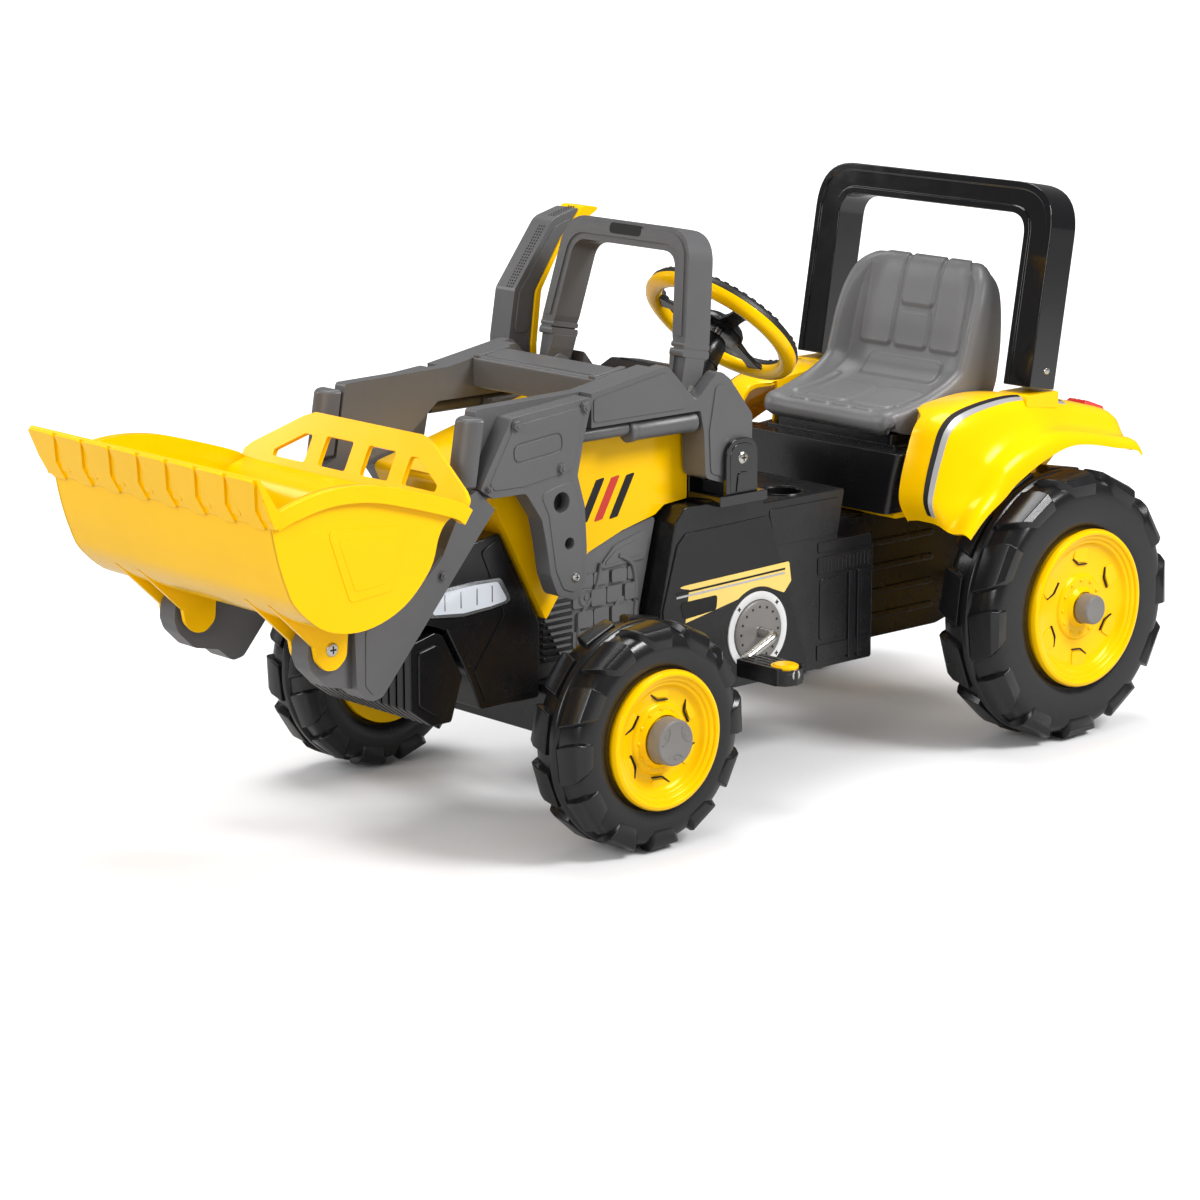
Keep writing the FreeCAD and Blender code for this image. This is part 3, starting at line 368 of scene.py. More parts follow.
def tyre(end, side_name, side, body):
    wheel = WHEELS[end]
    radius, seat, lug = wheel["radius"], wheel["seat"], wheel["lug"]
    middle = (wheel["inner"] + wheel["outer"]) / 2
    half = (wheel["outer"] - wheel["inner"]) / 2
    face = facing(0, wheel["y"], radius, side)
    base = radius - lug
    form = Form()
    outer_half = [(base, 0), (base - 0.5, half * 0.36), (base - 2, half * 0.62), (base - 7, half * 0.83),
                  (base - 18, half * 0.95), (seat + 22, half * 0.972), (seat + 10, half * 0.93),
                  (seat + 2, half * 0.86)]
    crown = spline(outer_half, 5)
    profile = [(p[0], middle + p[1]) for p in crown] + [(seat, middle + half * 0.8)]
    profile += [(seat, middle - half * 0.8)] + [(p[0], middle - p[1]) for p in crown[:0:-1]]
    form.lathe(profile, face, 120, closed=True)
    rib = [(base - 2, -8), (base + 2, -6), (base + 4.5, -3.5), (base + 4.5, 3.5), (base + 2, 6),
           (base - 2, 8)]
    form.lathe([(r, middle + h) for r, h in rib], face, 120, closed=True)
    pitch = 2 * math.pi / LUGS_PER_SIDE
    feet = [(base - 2, 9), (base - 2.5, half * 0.4), (base - 4, half * 0.62), (base - 10, half * 0.81),
            (base - 18, half * 0.91), (base - 24, half * 0.94)]
    tops = [(radius - 0.4, 10), (radius, half * 0.4), (radius - 0.6, half * 0.68),
            (radius - 4.5, half * 0.88), (radius - 14, half * 0.985), (radius - 26, half * 0.985)]
    widths = [0.37, 0.375, 0.375, 0.36, 0.31, 0.27]
    for way in (-1, 1):
        for number in range(LUGS_PER_SIDE):
            start = pitch * (number + (0.5 if way < 0 else 0))
            rings = []
            for index, (foot, top, width) in enumerate(zip(feet, tops, widths)):
                lean = side * 0.24 * pitch * (1 - index / (len(feet) - 1))
                ring = []
                for (r, h), turn in ((foot, -width), (top, -width + 0.045), (top, width - 0.045),
                                     (foot, width)):
                    angle = start + lean + turn * pitch
                    ring.append(face @ (Vector((r * math.cos(angle), r * math.sin(angle),
                                                middle + way * h)) * MM))
                rings.append(ring)
            form.loft(rings)
    form.done("tyre_%s_%s" % (end, side_name), body, [TYRE], ["%s_tyre_%s" % (end, side_name)], bevel=1.6,
              segments=2, angle=30)


def rim(end, side_name, side, body):
    wheel = WHEELS[end]
    flange, seat, cap = wheel["flange"], wheel["seat"], wheel["cap"]
    inner, outer = wheel["inner"], wheel["outer"]
    face = facing(0, wheel["y"], wheel["radius"], side)
    form = Form()
    dish = [(seat, outer + 0.5), (flange, outer + 0.5), (flange + 0.3, outer + 4),
            (flange - 1.5, outer + 7.5), (flange - 5, outer + 8.8), (flange - 7.5, outer + 7.6),
            (flange - 8.5, outer + 5), (flange - 11.5, outer + 4.2), (flange - 13, outer + 3.4),
            (flange - 14, outer + 1.2), (flange - 17, outer + 0.6), (flange - 18.5, outer - 0.4),
            (flange - 20, outer - 3.6), (flange - 25, outer - 6.2), (flange - 30, outer - 7.6),
            (HUB + 7, outer - 9), (HUB + 2, outer - 8.4), (HUB, outer - 6), (HUB - 3, outer - 4.8),
            (HUB - 9, outer - 5.4), (cap + 7, outer - 5.2), (cap + 3.5, outer - 2), (cap + 1.2, outer + 0.4),
            (cap + 0.4, outer - 3), (9, outer - 3), (9, outer - 14), (seat - 16, outer - 14),
            (seat - 6, outer - 7), (seat - 4, inner + 4), (18, inner + 6), (8.05, inner + 6),
            (8.05, inner + 2), (seat - 1, inner + 1)]
    form.lathe(dish, face, 120, closed=True)
    for spot in around(face, HUB - 6, 12):
        form.lathe([(0.05, outer - 8), (2.7, outer - 8), (2.7, outer - 4.3), (1.6, outer - 3.3),
                    (0.05, outer - 3)], spot, 12)
    pocket = (flange - 30 + HUB + 7) / 2
    for number in range(6):
        turn = Matrix.Rotation(math.pi * (number / 3 + 1 / 6), 4, "Z")
        local = face @ turn
        reach = flange - 24
        pad = [(pocket - 3, -12), (pocket - 1, 5), (pocket + 5, 15), (reach, 10), (reach - 2, -13)]
        floor = outer - 9.5
        form.slab(pad, floor, floor + 3.2, 4, matrix=local)
        # A thin near-black stroke along the edge of each pocket: painted shade, and the rim is not opened
        # there.
        hook = [Vector((pocket + 4, 15)), Vector((pocket - 4.5, 4)), Vector((pocket - 5.5, -12))]
        for a, b in zip(hook, hook[1:]):
            normal = Vector((b.y - a.y, a.x - b.x)).normalized() * 0.8
            stroke = [a + normal, b + normal, b - normal, a - normal]
            form.prism(stroke, floor - 1, floor + 3.5, paint=1, matrix=local)
    form.done("rim_%s_%s" % (end, side_name), body, [YELLOW, PAINTED_SHADE_AND_PRINT_BLACK], ["%s_rim_%s" % (end, side_name)],
              bevel=0.5, segments=2)


def hub_cap(end, side_name, side, body):
    wheel = WHEELS[end]
    radius, outer = wheel["cap"], wheel["outer"]
    face = facing(0, wheel["y"], wheel["radius"], side)
    form = Form()
    form.lathe([(radius - 1, outer + 1), (radius, outer + 2), (radius - 0.6, outer + 17.5),
                (radius - 1.6, outer + 20), (radius - 3.5, outer + 20.8), (radius - 5, outer + 20.2),
                (0.05, outer + 20.2), (0.05, outer + 14), (8.6, outer + 14), (8.6, outer + 1)], face, 64,
               closed=True)
    if end == "front":
        for number in range(3):
            local = face @ Matrix.Rotation(2 * math.pi * number / 3 + 0.5, 4, "Z")
            spot = local @ Matrix.Translation(Vector((radius * 0.62, 0, 0)) * MM)
            form.lathe([(0.05, outer + 20), (2.4, outer + 20), (2, outer + 21), (0.05, outer + 21)], spot,
                       16)
            band = []
            for reach, turns in ((0.47, range(8)), (0.53, range(7, -1, -1))):
                for t in (2.25 + 0.25 * step for step in turns):
                    band.append(Vector((0.95 + reach * math.cos(t), reach * math.sin(t))) * radius)
            form.prism(band, outer + 19.8, outer + 20.9, matrix=local)
    form.done("hub_cap_%s_%s" % (end, side_name), body, [CAP_GREY], ["%s_cap_%s" % (end, side_name)],
              bevel=0.4, segments=2)


def wheels():
    for end in ("front", "rear"):
        for side_name, side in SIDES:
            body = "rear_drive" if (end, side) == ("rear", 1) else "wheel_%s_%s" % (end, side_name)
            tyre(end, side_name, side, body)
            rim(end, side_name, side, body)
            hub_cap(end, side_name, side, body)


# ---- bucket -------------------------------------------------------------------------------------
SCOOP = [(-1224, 443), (-1216, 405), (-1205, 371), (-1190, 343), (-1151, 313), (-1098, 306), (-1045, 324),
         (-1007, 361), (-994, 396), (-981, 412), (-957, 420)]
BUCKET_HALF = 204
LIP_HALF = 214
RIM_EDGE = [(-952, 421), (-972, 433), (-1035, 453), (-1091, 467), (-1147, 470), (-1199, 461), (-1226, 452)]


def offset(path, distance):
    """The path moved sideways by a distance, to its left as it runs."""
    result = []
    for index, point in enumerate(path):
        ahead = path[min(index + 1, len(path) - 1)] - path[max(index - 1, 0)]
        normal = Vector((-ahead[1], ahead[0])).normalized()
        result.append(Vector(point[:2]) + normal * distance)
    return result


def bucket():
    form = Form()
    scoop = spline(SCOOP, 5)
    skin = scoop + offset(scoop, 4)[::-1]
    form.prism(skin, -BUCKET_HALF, BUCKET_HALF)
    edge = spline(RIM_EDGE, 6)
    wall = [Vector(p) for p in scoop] + edge
    for side in (-1, 1):
        form.prism(wall, side * 201, side * 205)
        band = edge + offset(edge, 19)[::-1]
        form.prism(band, side * 201.5, side * 213)
        emboss = rounded([(-1150, 425), (-1040, 415), (-1062, 345), (-1120, 340)], 8)
        form.prism(emboss, side * 204, side * 206)
        inner = rounded([(-1136, 413), (-1052, 405), (-1069, 355), (-1113, 351)], 6)
        form.prism(inner, side * 205, side * 206.6)
    lip = [(-1219, 438), (-1225, 436), (-1247, 489), (-1248.5, 493), (-1245, 495), (-1214, 447)]
    form.slab(lip, -LIP_HALF, LIP_HALF, 1.5)
    teeth = 8
    step = 2 * LIP_HALF / teeth
    slope = Vector((-24, 55)).normalized()
    across = Vector((-slope.y, slope.x))
    plane = Matrix(((1, 0, 0), (0, slope.x, across.x), (0, slope.y, across.y))).to_4x4()
    plane = Matrix.Translation(at(0, -1225, 438)) @ plane
    for number in range(teeth):
        left = number * step - LIP_HALF
        shape = [(left + 1, 24), (left + 1, 59.5), (left + step * 0.86, 59.5), (left + step * 0.96, 56),
                 (left + step * 0.62, 20), (left + step * 0.72, -3), (left + step * 0.3, -3),
                 (left + step * 0.1, 6)]
        form.slab(shape, -1, 3.4, 3, matrix=plane)
        shoulder = [(left + step * 0.66, 8), (left + step * 0.99, 8), (left + step * 0.99, 42)]
        form.slab(shoulder, -1, 1.6, 3, matrix=plane)
    rise = Vector((32, 68)).normalized()
    lean = Matrix(((-1, 0, 0), (0, rise.x, -rise.y), (0, rise.y, rise.x))).to_4x4()
    sheet = Matrix.Translation(at(0, -957, 420)) @ lean
    back = Form()
    plate = mirrored([(-205, -4), (-207, 12), (-196, 22), (-118, 66), (-98, 73)])
    back.slab(plate, -3, 3, 9, matrix=sheet)
    corner_pane = [(90, 12), (150, 12), (150, 20), (104, 46), (90, 46)]
    panes = [box2d(14, 12, 64, 48), box2d(-64, 12, -14, 48), corner_pane, [(-x, z) for x, z in corner_pane]]
    cutters = [Form().slab(pane, -20, 20, 4, matrix=sheet) for pane in panes]
    carve(back.done("bucket_back_plate", "bucket", [YELLOW], bevel=1.6), *cutters)
    lug = rounded([(-1184, 336), (-1125, 280, 0), (-1122, 264, 16), (-1110, 251, 16), (-1094, 250, 16),
                   (-1080, 262, 16), (-1076, 312), (-1098, 309), (-1151, 317)], 0)
    screws = Form()
    for side in (-1, 1):
        for start in (98, 141):
            form.prism(lug, side * start, side * (start + 6))
    form.done("bucket_scoop", "bucket", [YELLOW], ["bucket"], bevel=1.5, angle=30)
    for side in (1, -1):
        screw_head(screws, facing(147, *TIP, side), 8, cross=1)
    screws.done("bucket_screws", "loader", [STEEL, PAINTED_SHADE_AND_PRINT_BLACK], ["bucket_pins"], bevel=0.3, segments=2)


# ---- loader arms --------------------------------------------------------------------------------
def loader_arm(side_name, side):
    skin = [(-459, 462, 12), (-460, 390, 14), (-490, 378, 14), (-536, 393, 10), (-539, 449), (-545, 476, 4),
            (-735, 476, 6), (-780, 440, 5), (-823, 414, 8), (-859, 410, 8), (-1032, 209, 12),
            (-1048, 206, 12), (-1068, 223, 8), (-1102, 230, 16), (-1124, 252, 20), (-1129, 266, 16),
            (-1127, 284, 16), (-1114, 298, 16), (-1096, 302, 14), (-1040, 300, 12), (-960, 345, 14),
            (-938, 364, 12), (-910, 418, 8), (-891, 426, 4), (-876, 513, 5), (-719, 516, 4), (-599, 536, 10),
            (-552, 488, 6), (-515, 522, 16), (-497, 509, 16)]
    form = Form()
    form.slab(skin, 110, 128.5, side=side)
    rear = [(-459, 462, 12), (-460, 390, 14), (-490, 378, 14), (-536, 393, 10), (-539, 449), (-545, 476, 4),
            (-719, 476), (-719, 516), (-599, 536, 10), (-552, 488, 6), (-515, 522, 16), (-497, 509, 16)]
    form.slab(rear, 128, 149, side=side)
    front = [(-892, 425), (-910, 418, 8), (-938, 364, 12), (-960, 345, 14), (-1040, 300, 6), (-1070, 292),
             (-1068, 223, 6), (-1048, 206, 12), (-1032, 209, 12), (-866, 400)]
    form.slab(front, 128, 149, side=side)
    eye = [(-1068, 223), (-1102, 230, 16), (-1124, 252, 20), (-1129, 266, 16), (-1127, 284, 16),
           (-1114, 298, 16), (-1096, 302, 14), (-1070, 301)]
    form.slab(eye, 128, 139.5, side=side)
    rear_pad = [(-716, 482), (-716, 509), (-603, 528, 8), (-560, 482, 8)]
    form.slab(rear_pad, 148, 150.3, 5, side)
    bracket_pad = [(-466, 455), (-467, 396), (-490, 386), (-528, 398), (-531, 449), (-520, 506, 10),
                   (-500, 500, 10)]
    form.slab(bracket_pad, 148, 150.4, 8, side)
    low_pad = [(-902, 414), (-916, 409), (-945, 356), (-965, 338), (-1040, 293), (-1055, 288), (-1056, 226),
               (-1046, 214), (-1036, 217), (-880, 396)]
    form.slab(low_pad, 148, 150, 5, side)
    slot = Form().prism(box2d(-612, 479, -500, 560), 105 * side, 131 * side)
    piece = form.done("arm_%s" % side_name, "loader", [GREY], ["loader_arm_" + side_name], bevel=1.8,
                      angle=30)
    carve(piece, slot)
    cheek = Form()
    cheek.slab([(-575, 476), (-520, 476), (-527, 507, 8), (-543, 515, 10), (-559, 507, 8)], 106.2, 110.5,
               side=side)
    cheek.done("hoop_cheek_" + side_name, "loader", [GREY], bevel=1.2)


def loader_plate(side_name, side):
    form = Form()
    shape = [(-844, 503, 6), (-720, 514, 6), (-735, 464, 6), (-744, 424, 10), (-733, 387, 12),
             (-730, 339, 10), (-730, 298, 14), (-746, 276, 10), (-775, 286, 12), (-786, 312, 10),
             (-792, 348, 10), (-799, 379, 10), (-823, 413, 8), (-873, 414, 4), (-891, 426, 3)]
    form.slab(shape, 128.2, 153.5, side=side)
    pad = [(-840, 494), (-734, 504), (-745, 464), (-754, 432), (-826, 422), (-870, 423), (-878, 430)]
    form.slab(pad, 152.5, 155, 6, side)
    along = Vector((1, 0.1))
    across = Vector((-0.1, 1))
    stadium, small = ([Vector((-806, 464)) + along * run + across * rise for run, rise in box]
                      for box in (box2d(-37, -11.5, 37, 11.5), box2d(-35.2, -9.7, 35.2, 9.7)))
    strut = [(-752, 420), (-741, 384), (-738, 340), (-738, 302), (-749, 286), (-767, 293), (-778, 316),
             (-784, 352), (-789, 384), (-802, 410)]
    form.slab(strut, 152.5, 154.8, 9, side)
    piece = form.done("plate_%s" % side_name, "loader", [GREY], ["loader_plate_" + side_name], bevel=1.6,
                      angle=30)
    holes = []
    for hole_at in ((-770, 396, 12), (-758, 346, 7)):
        holes.append(Form().prism(circle(*hole_at, 28), 140 * side, 170 * side))
    carve(piece, Form().slab(stadium, 153.6, 160, 10, side), *holes)
    island = Form()
    island.slab(small, 153, 154.9, 8.5, side)
    # Near-black discs at the bottom of the two blind holes: painted shade inside the holes.
    for hole_at in ((-770, 396, 11.8), (-758, 346, 6.8)):
        island.prism(circle(*hole_at, 24), 139.5 * side, 141 * side, paint=1)
    island.done("plate_emboss_%s" % side_name, "loader", [GREY, PAINTED_SHADE_AND_PRINT_BLACK], bevel=0.8)


def loader_details():
    cross = Form()
    beam = rounded([(-680, 487, 4), (-628, 490, 4), (-628, 531, 6), (-680, 525, 6)])
    cross.prism(beam, -109.8, 109.8)
    top = Matrix.Translation(at(0, -654, 528)) @ Matrix.Rotation(math.atan2(6, 52), 4, "X")
    cross.slab(box2d(-98, -18, 98, 18), -1, 1.4, 7, matrix=top)
    for x in (-104, 104):
        cross.slab(box2d(x - 5, -26, x + 5, 26), -2, 2.2, 2, matrix=top)
    cross.done("loader_cross_member", "loader", [GREY], ["cross_member"], bevel=1.6)
    noses = Form()
    rods = Form()
    bolts = Form()
    for side in (1, -1):
        face_tilt = math.atan2(15, 87)
        rings = []
        for up, shrink in ((-1, 0.86), (2, 1), (40, 1), (76, 1), (79, 0.86)):
            ring = []
            for index in range(17):
                turn = math.pi * index / 16
                ring.append(at(side * (130 - 19.3 * shrink * math.cos(turn)),
                               -893.6 + up * math.sin(face_tilt) - 21.5 * shrink * math.sin(turn),
                               428 + up * math.cos(face_tilt)))
            rings.append(ring)
        noses.loft(rings)
        along = Matrix.Rotation(math.radians(-90), 4, "X")
        barrel = Matrix.Translation(at(134 * side, -652, 461.9)) @ along
        rods.lathe([(0.1, 0), (12.5, 0), (13.8, 1.5), (13.8, 9), (12.6, 10), (12.6, 96), (13.8, 98),
                    (13.8, 106), (0.1, 106)], barrel, 40)
        thin = Matrix.Translation(at(134 * side, -731.4, 466)) @ along
        rods.lathe([(0.1, 0), (8.2, 0), (8.8, 1), (8.8, 78), (0.1, 78)], thin, 32)
        for along_y, up, start, size in ((-838, 494, 155, 6.2), (-734, 503, 155, 6.2), (-770, 436, 155, 6.2),
                                         (-880, 425.5, 155, 3.6), (-945, 335, 150, 5.2)):
            hex_bolt(bolts, facing(start, along_y, up, side), size, 1)
        screw_head(bolts, facing(154.8, -749, 305, side), 5.5, cross=2)
    noses.done("nose_cylinder_pair", "loader", [GREY], ["nose_cylinders"], bevel=1.2)
    rods.done("ram_pair", "loader", [GREY], ["rams"], bevel=0.6)
    bolts.done("plate_bolts", "loader", [STEEL, GREY, PAINTED_SHADE_AND_PRINT_BLACK], ["loader_bolts"], bevel=0.3, segments=2)


def hoop():
    """Grab hoop, leaning back on its pins: legs that spread towards the foot, soft corners, collars."""
    form = Form()
    pin = Matrix.Translation(at(0, *HOOP)) @ Matrix.Rotation(math.radians(-HOOP_LEAN), 4, "X")
    drop = Matrix.Translation((0, -HOOP[1] * MM, 0))
    front = pin @ UPRIGHT @ drop
    flank = pin @ Matrix(((0, 0, 1), (1, 0, 0), (0, 1, 0))).to_4x4() @ drop
    bow = mirrored([(-129, 540), (-129, 556, 60), (-110, 686, 44)])
    bow += mirrored([(112, 540), (105, 560, 20), (90, 657, 24)])
    form.slab(bow, -20, 20, steps=10, matrix=front)
    band = mirrored([(-122, 560), (-104, 679, 37)]) + mirrored([(114, 560), (97, 665, 30)])
    for depth in (-22, 19):
        form.slab(band, depth, depth + 3, steps=10, matrix=front)
    form.slab(box2d(-28, 669, 28, 682), 19, 22.3, 6, matrix=front, paint=1)
    for side in (-1, 1):
        leg = rounded([(-16, 487, 6), (16, 487, 6), (16, 545), (-16, 545)])
        form.prism(leg, side * 112.8, side * 129, matrix=flank)
        for low, high, half in ((536, 545, 21.9), (546.5, 553, 21)):
            form.slab(box2d(-half, low, half, high), 106, 129.4, 3, side, matrix=flank)
        gusset = [(112.8 * side, 537), (112.8 * side, 500), (106.5 * side, 520), (104 * side, 537)]
        form.slab(gusset, -19, 19, 1, matrix=front)
    form.done("grab_hoop", "handle", [GREY, PAINTED_SHADE_AND_PRINT_BLACK], ["hoop_handle"], bevel=2.2, angle=30)


# ---- tractor body -------------------------------------------------------------------------------
def chassis():
    form = Form()
    wide = [(-596, 120, 4), (-227, 120, 4), (-227, 268, 5), (-292, 283, 4), (-279, 345, 5), (-421, 345, 2),
            (-421, 357, 5), (-552, 357, 14), (-568, 340, 12), (-592, 234, 6)]
    form.slab(wide, -131, 131)
    piece = form.done("chassis_hull", "tractor", [BLACK], ["chassis_shell"], bevel=3.5, angle=30)
    pocket = Matrix.Translation(at(92, -353, 0))
    well = Form().lathe([(0.1, 290), (24, 290), (26, 345), (26, 360), (0.1, 360)], pocket, 40)
    floor = Form().prism(box2d(-110, -590, 110, -235), 110, 200, plane="xy")
    chute = Form().prism(box2d(-20, -580, 20, -500), 330, 380, plane="xy")
    carve(piece, well, floor, chute)
    rest = Form()
    tunnel = [(-240, 126, 6), (-50, 126, 30), (45, 150, 20), (60, 200, 12), (60, 291, 6), (-240, 291)]
    rest.slab(tunnel, -78, 78)
    for side in (-1, 1):
        rest.slab(box2d(-750, 166, -590, 190), 60, 80, 4, side)
        for height in (150, 182, 214, 246):
            rest.slab(box2d(-228, height, -60, height + 9), 76, 80.5, 3, side)
    rest.done("chassis_tunnel", "tractor", [BLACK], bevel=3, angle=30)
    trim = Form()
    trim.lathe([(26, 344), (28, 346.4), (30, 346.4), (31, 344)], pocket, 48, closed=True)
    panel = [(-552, 325, 8), (-413, 328, 6), (-341, 124, 6), (-583, 124, 8), (-589, 234, 8), (-566, 312, 8)]
    for side in (-1, 1):
        trim.slab(panel, 130, 133, side=side, paint=1)
        for low, high in ((268, 281), (240, 262), (130, 150)):
            trim.slab(box2d(-326, low, -232, high), 130, 132.6, 3, side)
        for step in range(14):
            y = -324 + step * 6.6
            trim.slab(box2d(y, 243, y + 3.2, 259), 132, 133.4, 1, side)
        for y in (-272, -256):
            trim.slab(box2d(y, 126, y + 7, 238), 130, 134, 3, side)
        trim.slab(box2d(-322, 156, -280, 234), 130, 132.4, 6, side)
        trim.slab([(-413, 335), (-287, 335), (-300, 288), (-400, 288)], 130, 132.2, 6, side)
    trim.done("chassis_side_panels", "tractor", [BLACK, PANEL_BLACK], bevel=1.0, segments=2)


def side_print():
    """Plain printed stripes and the perforated crank disc on both flanks, its holes drawn as dark dots of
    painted shade.
    """
    form = Form()
    turns = [1.08 + 0.14 * number for number in range(9)]
    arc = [Vector(CRANK) + Vector((math.cos(turn), math.sin(turn))) * 56 for turn in turns]
    for side in (-1, 1):
        label = rounded([(-577, 261), (-378, 266), (-374, 241), (-386, 228)], 3) + arc + [(-553, 215)]
        form.prism(label, side * 132.8, side * 133.3)
        for shift, paint in ((-6, 1), (-11, 2)):
            bar = [(-568, 258 + shift), (-385, 262.5 + shift), (-385, 265 + shift), (-568, 260.5 + shift)]
            form.prism(bar, side * 133.2, side * 133.6, paint=paint)
        block = rounded([(-562, 241), (-500, 242.5), (-502, 224), (-556, 220)], 5)
        form.prism(block, side * 133.2, side * 133.6, paint=1)
    form.done("side_stripes", "tractor", [STICKER, PAINTED_SHADE_AND_PRINT_BLACK, STRIPE_SILVER])
    disc = Form()
    for side in (-1, 1):
        face = facing(0, *CRANK, side)
        disc.lathe([(50, 131), (50, 134.6), (41, 134.6), (40, 134), (40, 131)], face, 72, closed=True)
        disc.lathe([(39.5, 131), (39, 136), (36, 138), (26, 137.4), (14, 139.5), (8, 140), (6.6, 140),
                    (6.6, 131)], face, 72, paint=1, closed=True)
        # The disc's sixteen holes are near-black dots on its face, painted shade in place of holes; the four
        # small crosses on the white ring are drawn in the same near-black.
        for spot in around(face, 31.5, 16):
            disc.lathe([(0.05, 137), (1.7, 137), (1.7, 138.2), (0.05, 138.2)], spot, 10, paint=2)
        for spot in around(face, 45.5, 4, math.pi / 4):
            disc.prism(box2d(-3, -1, 3, 1), 134, 134.9, matrix=spot, paint=2)
            disc.prism(box2d(-1, -3, 1, 3), 134, 134.9, matrix=spot, paint=2)
    disc.done("crank_discs", "tractor", [WHITE, CAP_GREY, PAINTED_SHADE_AND_PRINT_BLACK], ["crank_bushes"], bevel=0.4,
              segments=2)


def bonnet():
    outer = [(-751, 245, 3), (-842, 415, 10), (-746, 438), (-681, 454), (-590, 472), (-525, 476, 8),
             (-525, 361, 3), (-562, 358, 6), (-577, 348, 6), (-630, 336, 14), (-684, 317, 14),
             (-729, 274, 8)]
    form = Form()
    form.slab(outer, -104.5, 104.5)
    form.slab([(-830, 408), (-746, 433), (-681, 449), (-600, 466), (-596, 473), (-681, 456.5), (-746, 440.5),
               (-838, 416.5)], -62, 62, 1)
    form.done("bonnet_hood", "tractor", [YELLOW], ["bonnet"], bevel=9, segments=5, angle=30)
    marks = Form()
    for side in (-1, 1):
        for low, paint in ((-700, 0), (-676, 1), (-652, 0)):
            bar = [(low, 352), (low + 14, 354), (low + 42, 404), (low + 28, 402)]
            marks.slab(bar, 104.3, 104.9, 2, side, paint=paint)
    marks.done("bonnet_stripes", "tractor", [PAINTED_SHADE_AND_PRINT_BLACK, STRIPE_RED])


def engine_panels():
    form = Form()
    shape = [(-748, 243), (-729, 272, 8), (-684, 315, 10), (-630, 334, 10), (-572, 345, 5), (-598, 236),
             (-598, 190), (-720, 190)]
    for side in (-1, 1):
        form.slab(shape, 93, 99.5, side=side)
        for row, (low, high) in enumerate(((202, 222), (226, 246), (250, 270), (274, 290))):
            for column in range(4):
                start = -706 + column * 27 + 6 * (row % 2)
                end = min(start + 24, -604)
                top = rounded(box2d(start, low, end, high), 4)
                form.prism(top, side * 99, side * (104 if (row + column) % 2 else 102))
        form.slab([(-668, 292), (-640, 318), (-596, 330), (-585, 322), (-590, 296)], 99, 102, 7, side)
        form.slab([(-660, 296), (-640, 311), (-604, 321), (-597, 316), (-600, 302)], 101, 103, 5, side)
        for along, up, radius in ((-686, 262, 12), (-626, 240, 15), (-655, 214, 9)):
            form.lathe([(radius, 99), (radius, 102.4), (radius * 0.8, 103.2), (radius * 0.6, 102.2),
                        (radius * 0.3, 102.2), (radius * 0.25, 103.4), (0.1, 103.4), (0.1, 99)],
                       facing(0, along, up, side), 32)
        path = spline([(-612, 200, 0), (-607, 232, 0), (-606, 262, 0), (-612, 292, 0), (-634, 306, 0)], 6)
        tube(form, [at(side * 101.5, p[0], p[1]) for p in path], 3.4, 12)
        path = spline([(-700, 205, 0), (-694, 240, 0), (-672, 268, 0), (-662, 300, 0)], 6)
        tube(form, [at(side * 101.5, p[0], p[1]) for p in path], 2.6, 12)
    form.done("engine_relief", "tractor", [ENGINE_GREY], ["engine_panels"], bevel=0.8, segments=2)
    louvre = Form()
    for side in (-1, 1):
        louvre.slab([(-757, 240), (-733, 270), (-716, 270), (-700, 190), (-757, 190)], 92, 97, 3, side)
        for number in range(9):
            low = 194 + number * 8.4
            reach = -752 if low < 236 else -752 + (low - 236) * 0.75
            louvre.slab(box2d(reach, low, -706, low + 4.4), 96, 101, 1.5, side)
    louvre.done("engine_louvres", "tractor", [BLACK], bevel=0.7, segments=2)


def fascia():
    outer = [(-757, 152, 5), (-756, 243, 3), (-817, 359, 8), (-868, 350, 12), (-930, 312, 14),
             (-934, 268, 6), (-898, 256, 6), (-866, 197, 10), (-848, 152, 8)]
    form = Form()
    form.slab(outer, -99.5, 99.5)
    form.slab([(-936, 300, 3), (-936, 272, 3), (-925, 268), (-925, 304)], -70, 70)
    form.done("fascia_nose", "tractor", [BLACK], ["front_fascia"], bevel=5, segments=4, angle=30)
    grille = Form()
    slope = math.atan2(38, 62)
    face = Matrix.Translation(at(0, -899, 331)) @ Matrix.Rotation(slope, 4, "X")
    grille.slab(box2d(-64, -30, 64, 30), -3, 0.8, 6, matrix=face)
    for number in range(9):
        x = -54 + number * 13.5
        grille.slab(box2d(x - 3.4, -25, x + 3.4, 25), 0.4, 2.6, 2.5, matrix=face)
    for side in (-1, 1):
        cover = [(-846, 340), (-822, 352), (-772, 258), (-765, 160), (-840, 160), (-858, 200), (-812, 262)]
        grille.slab(cover, 99, 101.4, 6, side)
    grille.done("nose_grille", "tractor", [BLACK], bevel=0.9, segments=2)
    lamps = Form()
    for side in (-1, 1):
        housing = [(-861, 307, 5), (-818, 306, 8), (-801, 276, 6), (-832, 271), (-875, 268.5),
                   (-925, 274, 5), (-927, 304, 5)]
        lamps.slab(housing, 98, 102.2, side=side)
        lens = [(-858, 303, 4), (-823, 302, 6), (-808, 278, 4), (-834, 274.5), (-875, 272.5), (-920, 277, 4),
                (-922, 300, 4)]
        lamps.slab(lens, 101.5, 103, side=side, paint=1)
        for y in (-904, -880, -856, -833):
            lamps.slab(box2d(y, 279, y + 2, 299), 102.6, 103.4, 0.8, side, paint=0)
        lamps.slab(box2d(side * 84 - 14, 275, side * 84 + 14, 303), -937, -930, 5, plane="xz", paint=1)
    lamps.done("headlamp_pair", "tractor", [SILVER, LENS], ["headlights"], bevel=0.9)


